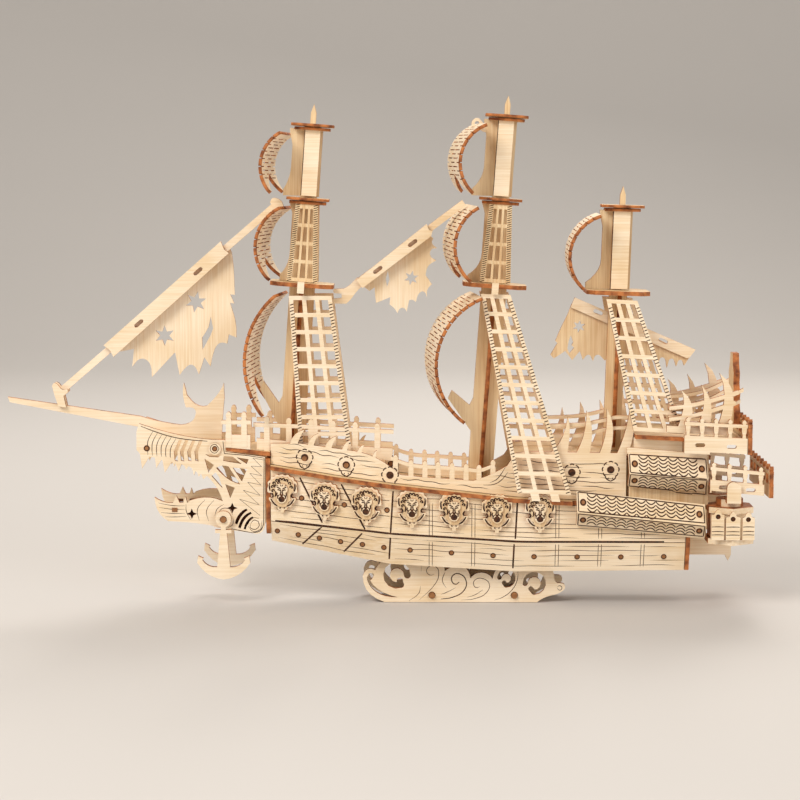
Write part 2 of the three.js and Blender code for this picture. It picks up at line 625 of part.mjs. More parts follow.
// A sail band: a strip of ply with cut hinges, bowed forward, its foot split in two tails.
function sailBand(spine, notchTop) {
  const half = BAND_WIDTH / 2;
  const sections = spine.map(([u, w], i) => {
    const [u0, w0] = spine[Math.max(0, i - 1)];
    const [u1, w1] = spine[Math.min(spine.length - 1, i + 1)];
    const length = Math.hypot(u1 - u0, w1 - w0);
    const [nu, nw] = [((w1 - w0) / length) * (PLY / 2), (-(u1 - u0) / length) * (PLY / 2)];
    return [[u - nu, -half, w - nw], [u + nu, -half, w + nw], [u + nu, half, w + nw], [u - nu, half, w - nw]];
  });
  const foot = spine[spine.length - 1][1];
  const notch = outline([[0, notchTop], [-(half - 3), foot - 3], [half - 3, foot - 3]]);
  return loft(sections).subtract(plate(notch, 'x', -60, 20));
}

function platform({ fore, aft, half }, w, neckHalf = MAST_NECK_HALF) {
  const cut = 4;
  const shape = outline([
    [-fore, cut - half], [cut - fore, -half], [aft - cut, -half], [aft, cut - half],
    [aft, half - cut], [aft - cut, half], [cut - fore, half], [-fore, half - cut],
  ]);
  const slot = rectangle(-neckHalf - GAP, -PLY / 2 - GAP, neckHalf + GAP, PLY / 2 + GAP);
  return plate(shape, 'z', w, w + PLY, [slot]);
}

// A rope ladder cut from one plate: level rungs between a foot line and a head line.
function shroud(foot, head, tabs) {
  const middle = ([from, to]) => new THREE.Vector3().addVectors(from, to).multiplyScalar(0.5);
  const [low, high] = [middle(foot), middle(head)];
  const climb = new THREE.Vector3().subVectors(high, low);
  const height = climb.length();
  const up = climb.divideScalar(height);
  const aft = new THREE.Vector3().subVectors(foot[1], foot[0]).normalize();
  const out = new THREE.Vector3().crossVectors(aft, up).normalize();
  const footHalf = foot[0].distanceTo(foot[1]) / 2;
  const headHalf = head[0].distanceTo(head[1]) / 2;
  const halfAt = (t) => footHalf + ((headHalf - footHalf) * t) / height;
  const cell = (share, inset, t) => [share * halfAt(t) + inset, t];
  const rungs = Math.floor(height / SHROUD_PITCH);
  const pitch = (height - SHROUD_RUNG) / rungs;
  const inset = SHROUD_RUNG / 2;
  const holes = [];
  for (let row = 0; row < rungs; row += 1) {
    const [from, to] = [SHROUD_RUNG + row * pitch, (row + 1) * pitch];
    for (let column = 0; column < 3; column += 1) {
      const [fore, back] = [-1 + (2 * column) / 3, -1 + (2 * (column + 1)) / 3];
      holes.push(outline([
        cell(fore, inset, from), cell(back, -inset, from), cell(back, -inset, to), cell(fore, inset, to),
      ]));
    }
  }
  const body = outline([
    cell(-1, -inset, 0), cell(1, inset, 0), cell(1, inset, height), cell(-1, -inset, height),
  ]);
  const ladder = join(
    plate(body, 'z', 0, SHROUD_PLY, holes),
    ...tabs.map((share) => {
      const [middleOfTab] = cell(share, 0, 0);
      return plate(rectangle(middleOfTab - 2, -3.6, middleOfTab + 2, 1), 'z', 0, SHROUD_PLY);
    }),
  );
  const geometry = toGeometry(ladder);
  geometry.applyMatrix4(new THREE.Matrix4().makeBasis(aft, up, out).setPosition(low));
  return toSolid(geometry);
}

const point = (x, y, z) => new THREE.Vector3(x, y, z);

// A yard: its stick, and the torn sail with its head plate on the port side of it.
function yard(from, to, width, sail, holes, outer) {
  const lap = 0.2;
  return join(
    plate(stick(from, to, width), 'y', outer + PLY - lap, outer + 2 * PLY - lap),
    plate(sail, 'y', outer, outer + PLY, holes),
  );
}

// Everything that stands on one mast, turned together by the mast's rake.
function mastGroup(mast) {
  const group = new THREE.Group();
  group.position.set(mast.x, 0, mast.z);
  group.rotation.y = THREE.MathUtils.degToRad(mast.rake);
  const bands = new THREE.Group();
  bands.rotation.z = THREE.MathUtils.degToRad(-mast.turn);
  group.add(bands);
  ship.add(group);
  return { group, bands };
}

// --------------------------------------------------------------------------- fitting

ship.add(
  mesh('keel_spine', keelSpine(), TAN_PLY),
  mesh('bow_frame', bowFrame(), BURNT_PLY),
  mesh('stern_frame', sternFrame(), TAN_PLY),
  mesh('main_deck', mainDeck(), BURNT_PLY),
  mesh('forecastle_deck', forecastleDeck(), TAN_PLY),
  mesh('quarter_deck', quarterDeck(), TAN_PLY),
  mesh('poop_deck', poopDeck(), TAN_PLY),
  ...pair('bulwark', bulwark(), PALE_PLY),
  ...pair('gun_strake', strake(gunHead, GUN_OUTER, GUN_FOOT, GUN_OUTER), PALE_PLY),
  ...pair('bilge_strake', strake(bilgeHead, GUN_OUTER, BILGE_FOOT, BILGE_OUTER), PALE_PLY),
  ...pair('upper_roof', upperRoof(), SAIL_PLY),
  ...pair('lower_roof', lowerRoof(), SAIL_PLY),
  ...pair('poop_gallery', balustrade(POOP_RAIL), PALE_PLY),
  ...pair('stern_gallery', balustrade(STERN_RAIL), PALE_PLY),
  ...pair('turret', turret(), PALE_PLY),
  ...pair('tusk_rail', tuskRail(), PALE_PLY),
  mesh('poop_transom', transom(POOP_RAIL.to + GAP + PLY, 74, 82, 87.4, 7), BURNT_PLY),
  mesh('stern_transom', transom(TRANSOM_AFT, 53.6, 60, 65.2, 7), BURNT_PLY),
  mesh('stern_crest', sternCrest(), BURNT_PLY),
  mesh('figurehead', figurehead(), PALE_PLY),
  ...pair('cheek', cheek(), PALE_PLY),
  mesh('jaw_pin', bar(JAW_PIN.x, JAW_PIN.z, JAW_PIN.radius, ANCHOR_OUTER + 1), BURNT_PLY),
  ...pair('anchor', anchor(), PALE_PLY),
);

// The masts, each in its own raked frame, with u aft of the axis and w up it.

// Plate between two platforms: straight back, and a concave front with a horn above and below
// that carries the ends of the sail band.
const topSection = (mast, from, horn) => ({
  from,
  to: mast.top,
  back: 5,
  front: [
    [-horn, from], [-horn, from + 3], [-9, from + 8, -9, from + 14], [-9, mast.top - 8],
    [-10.5, mast.top - 2],
  ],
});
const midSection = (from, to, horn) => ({
  from,
  to,
  back: 5.5,
  front: [[-horn, from], [-horn, from + 3], [-7, from + 7, -7, from + 14], [-7, to - 6], [-8.5, to - 1.5]],
});
const lowSection = (to, elbow, arm, armTip) => ({
  from: 0,
  to,
  back: MAST_PLATE_HALF,
  front: [[-MAST_PLATE_HALF, 0], [-MAST_PLATE_HALF, elbow], [-arm, armTip - 4], [1.5 - arm, armTip],
    [-MAST_PLATE_HALF - 1.5, elbow + 12.5], [-MAST_PLATE_HALF, elbow + 16]],
});

function buildMast(name, mast, { sections, bands, lowPlatform }) {
  const { group, bands: turned } = mastGroup(mast);
  group.add(mesh(`${name}_mast`, mastPlate(mast, sections), TAN_PLY));
  group.add(mesh(`${name}_platform`, platform(lowPlatform, mast.low), BURNT_PLY));
  for (const [level, { spine, notch }] of Object.entries(bands)) {
    turned.add(mesh(`${name}_${level}_sail`, sailBand(spine, notch), SAIL_PLY));
  }
}

buildMast('fore', FORE, {
  lowPlatform: PLATFORM_LOW,
  sections: [
    lowSection(FORE.low, 13, 17, 35.5), midSection(FORE.low + PLY, FORE.mid, 11),
    topSection(FORE, FORE.mid + PLY, 12),
  ],
  bands: {
    top: { spine: arcThrough([-12.4, 153.4], [-20.7, 138], [-15.2, 125.4], 8), notch: 134 },
    mid: { spine: arcThrough([-10.5, 118.6], [-20.6, 99.4], [-13, 84.8], 9), notch: 94 },
    low: {
      spine: arcThrough([-10, 77.5], [-22.3, 47], [-12, 20.5], 12),
      notch: 38,
    },
  },
});
buildMast('main', MAIN, {
  lowPlatform: PLATFORM_LOW,
  sections: [
    lowSection(MAIN.low, 26, 18, 45), midSection(MAIN.low + PLY, MAIN.mid, 13),
    topSection(MAIN, MAIN.mid + PLY, 14),
  ],
  bands: {
    top: { spine: arcThrough([-12, 171.4], [-23.2, 152.5], [-16, 139.4], 9), notch: 148 },
    mid: { spine: arcThrough([-13, 133], [-22.8, 116], [-14, 98.4], 9), notch: 108 },
    low: {
      spine: arcThrough([-8, 91], [-27.6, 61], [-12, 32], 12),
      notch: 50,
    },
  },
});
buildMast('mizzen', MIZZEN, {
  lowPlatform: PLATFORM_MIZZEN,
  sections: [
    { from: 0, to: MIZZEN.low, back: MAST_PLATE_HALF - 2, front: [[-4.5, 0], [-4.5, MIZZEN.low - 4]] },
    topSection(MIZZEN, MIZZEN.low + PLY, 16),
  ],
  bands: {
    top: { spine: arcThrough([-10.8, 112], [-24.6, 94], [-17.4, 77.6], 9), notch: 88 },
  },
});

// The shrouds: rope ladders from under each low platform down to the deck edge. The fore one
// stands inside the bulwark, the main one outside the wale, the mizzen one on the poop deck.
const foreShroudY = -(BULWARK_OUTER - PLY - closingIn(-41.5) - SHROUD_PLY - 2 * GAP);
const mainShroudY = -(WALE_HALF + 1);
const mizzenShroudY = -(BULWARK_OUTER + 2.4);
const poopAt = (x) => POOP_Z - (x - 115.6) * POOP_DROP;
ship.add(
  ...pair('fore_shroud', shroud(
    [point(-41.5, foreShroudY, 72.4), point(-18.5, foreShroudY, 72.4)],
    [point(-46.2, -8.6, 147), point(-28, -8.6, 147)], [],
  ), PALE_PLY),
  ...pair('main_shroud', shroud(
    [point(61.4, mainShroudY, 55.4), point(84.6, mainShroudY, 54.6)],
    [point(44.3, -10, 147.6), point(56.3, -10, 147.6)], [-0.4, 0.4],
  ), PALE_PLY),
  ...pair('mizzen_shroud', shroud(
    [point(115.8, mizzenShroudY, poopAt(115.8) + 1.2), point(137.4, mizzenShroudY, poopAt(137.4) + 1.2)],
    [point(103.4, -10, 145), point(116, -10, 145)], [],
  ), PALE_PLY),
);

// The yards and their torn sails.
const JIB_SAIL = [
  [-135.1, 123.7], [-79.2, 172.7], [-74.5, 168], [-74.3, 160.7], [-73.7, 147], [-76.2, 142.5],
  [-73.8, 133.7], [-76.8, 127.8], [-77.5, 123.4], [-82.3, 123.1], [-85.7, 112.4], [-88.6, 116.8],
  [-91.3, 108.7], [-95.6, 113.5], [-100.5, 108.3], [-102.5, 119], [-113.7, 107.5], [-114.7, 114.6],
  [-118, 116], [-123.1, 112.4], [-122.3, 120.4], [-131.1, 118.9],
];
const JIB_TEAR = [
  [-85.2, 137], [-83.2, 134], [-84.6, 130], [-82.6, 127.6], [-87, 121.4], [-90.4, 120], [-87.8, 125.4],
  [-89, 128.6], [-86, 131],
];
const GAFF_SAIL = [
  [-15.1, 154.3], [18.2, 180.4], [21.2, 176.9], [23.6, 171.7], [20.1, 168.7], [22.3, 163], [17.7, 156.2],
  [20.4, 151.8], [17.7, 145.8], [15.5, 148.5], [12.8, 143.6], [9.8, 144.1], [8.4, 138.7], [6.2, 140.3],
  [4, 138.1], [0.2, 142.2], [0.4, 145.5], [-6.1, 142.8], [-6.7, 149.9], [-9.4, 148.5], [-11.9, 150.5],
];
const MIZZEN_SAIL = [
  [90.6, 144], [146.2, 120.4], [144.2, 113.6], [140, 116.4], [137.4, 113.2], [134, 117], [130.4, 114],
  [127, 117.8], [120, 115.6], [112, 118.4], [103.3, 115.8], [97.7, 115.3], [92.9, 115.8], [91.5, 119.6],
  [87.7, 115.3], [84.4, 119.6], [78.7, 116.3], [79.2, 123.4], [87.5, 138.6],
];
const FORK = [
  [-26.3, 147.4], [-22.6, 147.4], [-22.6, 145.2], [-26.3, 145.2], [-26.3, 142.8], [-20, 142.8],
  [-13.2, 150.6], [-15.6, 153.6], [-20, 149.4], [-26.3, 149.6],
];

ship.add(
  mesh('jib_yard', yard(
    [-158.2, 99.8], [-54.4, 188.8], 3.4, outline(JIB_SAIL),
    [outline(JIB_TEAR), star(-92.3, 143.5, 5, 6), star(-107.5, 127.4, 4.8, 6)], -2.8,
  ), SAIL_PLY),
  mesh('gaff', join(
    yard(
      [-16.2, 152], [35.4, 190.4], 3.2, outline(GAFF_SAIL),
      [star(10.8, 154.6, 3.4, 6), outline([[-4.6, 154.6], [-0.8, 156.2], [3, 154.6], [-0.8, 153]])], -2.8,
    ),
    plate(outline(FORK), 'y', -1, 1),
  ), SAIL_PLY),
  mesh('mizzen_sail', plate(
    outline(MIZZEN_SAIL), 'y', PLY / 2 + GAP, 1.5 * PLY + GAP, [star(90.9, 131.4, 3, 6)],
  ), SAIL_PLY),
);

// ----------------------------------------------------------------------------- stand

// A cut-out like a breaking wave: an arc of a ring with round ends, and the curl of foam in it.
function crescent(a, b, radius, width, start, end) {
  const shape = new THREE.Shape();
  const middle = radius - width / 2;
  const tip = (turn) => [a + middle * Math.cos(turn), b + middle * Math.sin(turn)];
  shape.absarc(a, b, radius, start, end, false);
  shape.absarc(...tip(end), width / 2, end, end + Math.PI, false);
  shape.absarc(a, b, radius - width, end, start, true);
  shape.absarc(...tip(start), width / 2, start - Math.PI, start, false);
  return shape;
}

function waveStand() {
  const [left, right] = STAND_FOOT;
  const wave = outline([
    [left, 0], [right, 0], [74, 2.6, 78.4, 3.5], [82.6, 4.4, 84.3, 6.6], [85, 9.4, 81.8, 9.4],
    [79.4, 9, 79, 12.5], [79, 16, 76.5, STAND_TOP - 5], [66, STAND_TOP - 3], [54, STAND_TOP - 4],
    [50.6, 16, 49.6, 11.4], [47.7, 14.4, 44.2, 14.4], [41, 14.4, 39, 11.6],
    [38.4, 17.4, 33.3, 17.6], [29, 17.6, 26.7, 14.9], [26.7, 19.6, 24, STAND_TOP - 3], [6, STAND_TOP],
    [-4, 22, -6.6, 15.6], [-10.9, 18, -12.6, 12.6], [-12.6, 3.4, left, 0],
  ]);
  const turn = Math.PI;
  const openings = [
    crescent(3.8, 13.1, 6.6, 3.2, 0, 1.62 * turn),
    stick([5.4, 8.4], [5.2, 10.4], 3),
    crescent(56.2, 11.6, 4.5, 2.3, -0.5 * turn, 0.95 * turn),
    stick([56, 8.3], [55.2, 9.5], 2.2),
    crescent(69.6, 9.2, 5.6, 2.5, -0.5 * turn, turn),
    stick([69.4, 4.9], [68, 6.6], 2.4),
    outline([
      [-9.6, 13.9], [-8.2, 14.6, -7.2, 13.4], [-7.6, 11.2, -9, 10.6], [-6, 4.6, 4.4, 2.3],
      [-4, 2.1, -8, 6.4], [-10.6, 9.6, -10.6, 12],
    ]),
    ...DOWEL_STATIONS.map((x) => disc(x, 3.4, DOWEL_RADIUS + GAP)),
  ];
  return plate(wave, 'y', -STAND_OUTER, -STAND_OUTER + PLY, openings);
}

ship.add(
  ...pair('stand_wave', waveStand(), PALE_PLY),
  mesh('stand_dowel_fore', bar(DOWEL_STATIONS[0], 3.4, DOWEL_RADIUS, STAND_OUTER + 1), BURNT_PLY),
  mesh('stand_dowel_aft', bar(DOWEL_STATIONS[1], 3.4, DOWEL_RADIUS, STAND_OUTER + 1), BURNT_PLY),
);

// The stations above run from an arbitrary zero; this puts X = 0 in the middle of the box.
ship.position.x = -(BOWSPRIT_TIP + TRANSOM_AFT) / 2;

const model = new THREE.Group();
model.add(ship);
export default model;
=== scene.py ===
# %% [markdown]
# # A laser-cut plywood pirate ship
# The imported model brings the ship's structure: hull plates, masts, sails, anchors and stand, each at its
# real size. Everything is in metres, and most sizes are given in millimetres, as on a cutting sheet, so
# the first cell also makes that change of units easy.

import math
import random

import bpy
from mathutils import Matrix, Vector, kdtree


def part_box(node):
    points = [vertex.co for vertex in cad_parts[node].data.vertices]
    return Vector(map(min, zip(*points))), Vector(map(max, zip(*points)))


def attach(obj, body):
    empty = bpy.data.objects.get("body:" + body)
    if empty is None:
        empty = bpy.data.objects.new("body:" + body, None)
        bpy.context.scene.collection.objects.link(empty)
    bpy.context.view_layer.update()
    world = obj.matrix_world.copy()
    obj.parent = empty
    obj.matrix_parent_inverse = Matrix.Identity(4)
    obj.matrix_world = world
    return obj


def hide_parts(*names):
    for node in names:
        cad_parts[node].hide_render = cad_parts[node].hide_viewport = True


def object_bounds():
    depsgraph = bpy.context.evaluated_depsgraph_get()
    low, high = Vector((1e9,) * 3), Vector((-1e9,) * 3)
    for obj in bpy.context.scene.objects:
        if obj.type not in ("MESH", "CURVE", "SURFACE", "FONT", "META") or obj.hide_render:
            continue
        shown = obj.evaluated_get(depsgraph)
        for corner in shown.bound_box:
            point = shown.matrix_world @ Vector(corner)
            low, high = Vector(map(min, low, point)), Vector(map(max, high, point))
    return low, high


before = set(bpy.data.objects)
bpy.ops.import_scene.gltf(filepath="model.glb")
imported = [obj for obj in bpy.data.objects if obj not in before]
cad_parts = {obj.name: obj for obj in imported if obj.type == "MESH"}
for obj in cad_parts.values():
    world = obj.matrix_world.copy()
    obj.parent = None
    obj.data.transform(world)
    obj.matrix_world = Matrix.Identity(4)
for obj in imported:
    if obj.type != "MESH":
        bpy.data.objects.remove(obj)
cad_low, cad_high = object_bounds()
MM = 0.001
PLY = 2.0
print("structure:", len(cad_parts), "plates,", [round(v / MM, 1) for v in cad_high - cad_low], "mm")

# %% [markdown]
# A shipwright counts stations along the keel. Here station 0 is where the straight sides start to close
# in towards the bow, 183 mm aft of the tip of the bowsprit, and the stations grow towards the stern.
# A point of the ship is then `at(station, y, height)` in millimetres, with y negative on the port side.

# %% Stations along the ship
BOWSPRIT = 183.0
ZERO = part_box("figurehead")[0].x / MM + BOWSPRIT


def at(x, y, z):
    """A point of the ship in metres, from its station, half breadth and height in millimetres."""
    return Vector((ZERO + x, y, z)) * MM


def edge(node, side):
    """One face of a plate's box in millimetres: side is -x, +x, -y, +y, -z or +z."""
    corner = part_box(node)[side[0] == "+"]
    axis = "xyz".index(side[1])
    return corner[axis] / MM - (ZERO if axis == 0 else 0.0)


print("station zero is", round(ZERO, 2), "mm aft of the middle of the model")

# %% [markdown]
# The eye stands a little above the deck on the port side, about 0.95 m away, and looks slightly down
# with a long lens, so the perspective is gentle. The camera is turned by two small angles: down for the
# height of the eye, and a touch to the left.

# %% Camera
LOOK_DOWN = math.atan(235 / 2000)  # a fall of 235 mm in 2 m
LOOK_LEFT = math.atan(14 / 2000)
deck_middle = (cad_low + cad_high) / 2
bpy.ops.object.camera_add(
    location=deck_middle + Vector((0.01337, -0.95257, 0.08796)),
    rotation=(math.pi / 2 - LOOK_DOWN, 0.0, LOOK_LEFT),
)
camera = bpy.context.object
camera.name = "camera"
camera.data.lens = 90.0
camera.data.sensor_width = 36.0
camera.data.clip_start = 0.05
bpy.context.scene.camera = camera
bpy.context.scene.view_settings.view_transform = "Standard"
print("camera at", [round(v, 3) for v in camera.location])

# %% [markdown]
# A pale sweep of paper behind and under the model is the usual ground in a studio: a floor that
# curves up into a wall. It is a plane whose back edge is extruded in small turns. Three large soft
# lamps light it: a key from the upper left of the camera, a weaker fill from the right and a rim from
# above and behind, so that the cut edges stay readable.

# %% Floor and lights
FLOOR_GAP = 0.0002
bpy.ops.object.select_all(action="DESELECT")
bpy.ops.mesh.primitive_plane_add(size=2.4, location=(0.0, -0.1, -FLOOR_GAP))
sweep = bpy.context.object
sweep.name = "paper_sweep"
bpy.ops.object.transform_apply(location=True, rotation=False, scale=False)
bpy.ops.object.mode_set(mode="EDIT")
bpy.ops.mesh.select_all(action="DESELECT")
bpy.ops.object.mode_set(mode="OBJECT")
back = max(v.co.y for v in sweep.data.vertices)
for line in sweep.data.edges:
    line.select = all(sweep.data.vertices[i].co.y > back - 0.01 for i in line.vertices)
bpy.ops.object.mode_set(mode="EDIT")
bpy.ops.mesh.select_mode(type="EDGE")
for step in range(1, 9):
    turn = math.pi / 2 * (step - 0.5) / 8
    stride = 0.12
    bpy.ops.mesh.extrude_region_move(
        TRANSFORM_OT_translate={"value": (0.0, stride * math.cos(turn), stride * math.sin(turn))}
    )
bpy.ops.mesh.extrude_region_move(TRANSFORM_OT_translate={"value": (0.0, 0.0, 1.2)})
bpy.ops.object.mode_set(mode="OBJECT")
bpy.ops.object.shade_smooth()
paper = bpy.data.materials.new("pale_matt_paper")
paper.use_nodes = True
paper.node_tree.nodes["Principled BSDF"].inputs["Base Color"].default_value = (0.64, 0.61, 0.58, 1.0)
paper.node_tree.nodes["Principled BSDF"].inputs["Roughness"].default_value = 0.9
sweep.data.materials.append(paper)

for name, place, size, power in (
    ("key_lamp", (-0.75, -1.0, 1.15), 0.7, 17.0),
    ("fill_lamp", (1.0, -0.9, 0.55), 0.9, 5.5),
    ("rim_lamp", (0.25, 0.8, 1.0), 0.6, 9.0),
):
    bpy.ops.object.light_add(type="AREA", location=place)
    lamp = bpy.context.object
    lamp.name = name
    lamp.data.size = size
    lamp.data.energy = power
    lamp.data.color = (1.0, 0.95, 0.89)
    lamp.rotation_mode = "QUATERNION"
    lamp.rotation_quaternion = (Vector((0, 0, 0.1)) - Vector(place)).to_track_quat("-Z", "Y")
world = bpy.data.worlds.new("studio")
bpy.context.scene.world = world
world.use_nodes = True
world.node_tree.nodes["Background"].inputs["Color"].default_value = (1.0, 0.96, 0.91, 1.0)
world.node_tree.nodes["Background"].inputs["Strength"].default_value = 0.42

# %% [markdown]
# ## The plywood
# Its faces are cream and silky, with a fine straight grain and soft broad changes of tone. The beam
# chars what it cuts, so every edge is orange-brown with darker plies in it, and every engraved line is
# nearly black-brown. The trick that makes a heap of flat outlines read as plywood is therefore a
# material that knows a face from an edge. It compares the surface's own normal with the direction that
# the plate faces.
#
# Three small functions do all of the shading work: one turns a colour's sRGB hex value into what Blender
# mixes, one adds a node with its settings and links, and one makes a material with its Principled node.

# %% Colour and node helpers
def srgb(code):
    """An sRGB hex colour as linear red, green, blue and alpha."""
    parts = [int(code[i : i + 2], 16) / 255 for i in (1, 3, 5)]
    linear = [c / 12.92 if c <= 0.04045 else ((c + 0.055) / 1.055) ** 2.4 for c in parts]
    return (*linear, 1.0)


def add_node(tree, kind, links=(), **settings):
    """Adds one node. Settings are its properties or its sockets; links pair a socket with its source."""
    new = tree.nodes.new(kind)
    for key, value in settings.items():
        if hasattr(new, key):
            setattr(new, key, value)
        else:
            new.inputs[key.replace("_", " ")].default_value = value
    for socket, source in links:
        tree.links.new(source, new.inputs[socket])
    return new


def new_material(name, **settings):
    """A material with the given values on its Principled node, its node tree and that node."""
    made = bpy.data.materials.new(name)
    made.use_nodes = True
    shader = made.node_tree.nodes["Principled BSDF"]
    for key, value in settings.items():
        shader.inputs[key.replace("_", " ")].default_value = value
    return made, made.node_tree, shader


print("cream ply in linear colour:", [round(part, 2) for part in srgb("#FBE9CE")[:3]])

# %% [markdown]
# `plywood` builds the finish for plates that face along one axis. The grain is a noise drawn out 40
# times along the length of the sheet, since basswood's pores are about 0.3 mm wide and several
# millimetres long. A second, broad noise shifts the tone as one sheet differs from the next, and a
# third one makes the char uneven. On an edge the plies show as lines every 0.7 mm through the thickness.
# Sails and roofs are bent or slanted, so their material names the axis of their cut sides instead.

# %% Basswood plywood
GRAIN_WIDTH = 0.45  # mm; real pores are finer, but they would vanish in the picture
GRAIN_STRETCH = 40.0
PLY_LINES = 0.72  # mm between the dark glue lines in an edge


def plywood(name, facing, along, pale="#FBE9CE", deep="#E6C89B", cut_sides=False, tone=0.0):
    """Plywood whose faces look along `facing` and whose grain runs `along`, both one of x, y, z."""
    made, tree, shader = new_material(name, Roughness=0.58, IOR=1.46)
    place = add_node(tree, "ShaderNodeTexCoord")
    to_mm = [1 / (GRAIN_WIDTH * MM)] * 3
    to_mm["xyz".index(along)] /= GRAIN_STRETCH
    stretch = add_node(tree, "ShaderNodeMapping", [("Vector", place.outputs["Object"])], Scale=to_mm)
    grain = add_node(
        tree, "ShaderNodeTexNoise", [("Vector", stretch.outputs[0])], Scale=0.6, Detail=5.0, Roughness=0.6
    )
    broad = add_node(
        tree, "ShaderNodeTexNoise", [("Vector", place.outputs["Object"])],
        Scale=28.0, Detail=2.0, Roughness=0.5, Distortion=0.6,
    )
    blend = add_node(
        tree, "ShaderNodeMath", [(0, grain.outputs["Fac"]), (1, broad.outputs["Fac"])], operation="ADD"
    )
    face = add_node(tree, "ShaderNodeValToRGB")
    half_blend = add_node(
        tree, "ShaderNodeMath", [(0, blend.outputs[0])], operation="MULTIPLY_ADD"
    )
    half_blend.inputs[1].default_value = 0.5
    half_blend.inputs[2].default_value = tone
    tree.links.new(half_blend.outputs[0], face.inputs["Fac"])
    face.color_ramp.elements[0].position = 0.34
    face.color_ramp.elements[0].color = srgb(deep)
    face.color_ramp.elements[1].position = 0.60
    face.color_ramp.elements[1].color = srgb(pale)

    burn = add_node(
        tree, "ShaderNodeTexNoise", [("Vector", place.outputs["Object"])], Scale=260.0, Detail=3.0
    )
    char = add_node(tree, "ShaderNodeValToRGB", [("Fac", burn.outputs["Fac"])])
    char.color_ramp.elements[0].position = 0.30
    char.color_ramp.elements[0].color = srgb("#6E3517")
    char.color_ramp.elements[1].position = 0.62
    char.color_ramp.elements[1].color = srgb("#C97C42")
    axes = add_node(tree, "ShaderNodeSeparateXYZ", [("Vector", place.outputs["Object"])])
    plies = add_node(
        tree, "ShaderNodeMath", [(0, axes.outputs["xyz".index(facing)])], operation="MULTIPLY"
    )
    plies.inputs[1].default_value = 2 * math.pi / (PLY_LINES * MM)
    wave = add_node(tree, "ShaderNodeMath", [(0, plies.outputs[0])], operation="SINE")
    glue = add_node(
        tree, "ShaderNodeMapRange", [("Value", wave.outputs[0])],
        From_Min=0.75, From_Max=1.0, To_Min=0.0, To_Max=0.45,
    )
    edges = add_node(
        tree, "ShaderNodeMixRGB", [("Fac", glue.outputs[0]), ("Color1", char.outputs["Color"])],
        blend_type="MULTIPLY", Color2=srgb("#5A2C14"),
    )

    normal = add_node(tree, "ShaderNodeSeparateXYZ", [("Vector", place.outputs["Normal"])])
    towards = add_node(
        tree, "ShaderNodeMath", [(0, normal.outputs["xyz".index(facing)])], operation="ABSOLUTE"
    )
    limits = (0.5, 0.62) if cut_sides else (0.62, 0.5)
    is_edge = add_node(
        tree, "ShaderNodeMapRange", [("Value", towards.outputs[0])],
        From_Min=limits[0], From_Max=limits[1],
    )
    colour = add_node(
        tree, "ShaderNodeMixRGB",
        [("Fac", is_edge.outputs[0]), ("Color1", face.outputs["Color"]), ("Color2", edges.outputs["Color"])],
    )
    tree.links.new(colour.outputs["Color"], shader.inputs["Base Color"])
    bump = add_node(
        tree, "ShaderNodeBump", [("Height", grain.outputs["Fac"])], Strength=0.12, Distance=0.00008
    )
    tree.links.new(bump.outputs["Normal"], shader.inputs["Normal"])
    return made


SIDE_PLY = plywood("basswood_ply_side", "y", "x")
# a deeper tan ply; on the masts' middle plates and on the cabin walls its deeper tone is painted shade
MAST_PLY = plywood("basswood_ply_mast", "y", "z", pale="#F0D8B0", deep="#D0A876")
DECK_PLY = plywood("basswood_ply_deck", "z", "x", pale="#EACFA2", deep="#C79F6C")
CROSS_PLY = plywood("basswood_ply_cross", "x", "z", pale="#EACFA4", deep="#C79C68")
SAIL_PLY = plywood("basswood_ply_sail", "y", "z", cut_sides=True)
SHEET_PLY = plywood("basswood_ply_sheet", "y", "z", tone=-0.01)
ROOF_PLY = plywood("basswood_ply_roof", "x", "x", cut_sides=True)
print("plywood finishes:", [m.name for m in bpy.data.materials])

# %% [markdown]
# Engraved lines and holes are burnt wood: matt, very dark brown, a little uneven. Dowels and pins are
# turned birch, whose sawn ends are tanned by the cutter as well.

# %% Burnt lines and turned pins
BURNT_LINE, line_tree, line_shader = new_material("laser_burnt_line", Roughness=0.85, IOR=1.45)
line_place = add_node(line_tree, "ShaderNodeTexCoord")
line_noise = add_node(
    line_tree, "ShaderNodeTexNoise", [("Vector", line_place.outputs["Object"])], Scale=900.0, Detail=2.0
)
line_tone = add_node(line_tree, "ShaderNodeValToRGB", [("Fac", line_noise.outputs["Fac"])])
line_tone.color_ramp.elements[0].position = 0.35
line_tone.color_ramp.elements[0].color = srgb("#2B170C")
line_tone.color_ramp.elements[1].position = 0.68
line_tone.color_ramp.elements[1].color = srgb("#5E371D")
line_tree.links.new(line_tone.outputs["Color"], line_shader.inputs["Base Color"])

PIN_WOOD, pin_tree, pin_shader = new_material("turned_birch_pin", Roughness=0.6, IOR=1.46)
pin_place = add_node(pin_tree, "ShaderNodeTexCoord")
pin_rings = add_node(
    pin_tree, "ShaderNodeTexNoise", [("Vector", pin_place.outputs["Object"])], Scale=520.0, Detail=4.0
)
pin_tone = add_node(pin_tree, "ShaderNodeValToRGB", [("Fac", pin_rings.outputs["Fac"])])
pin_tone.color_ramp.elements[0].color = srgb("#6B3E22")
pin_tone.color_ramp.elements[1].color = srgb("#B9824F")
pin_tree.links.new(pin_tone.outputs["Color"], pin_shader.inputs["Base Color"])
print("burnt line and pin finishes ready")

# %% [markdown]
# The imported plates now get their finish. Each carries the plywood that faces the way it was cut.

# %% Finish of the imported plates
FINISHES = {
    DECK_PLY: ("main_deck", "forecastle_deck", "quarter_deck", "poop_deck", "_platform"),
    CROSS_PLY: ("bow_frame", "stern_frame", "_transom", "stern_crest"),
    SAIL_PLY: ("_top_sail", "_mid_sail", "_low_sail"),
    ROOF_PLY: ("_roof_",),
    # the masts' middle plates take the deeper tan ply, partly as painted shade
    MAST_PLY: ("_mast",),
    PIN_WOOD: ("jaw_pin", "stand_dowel"),
}


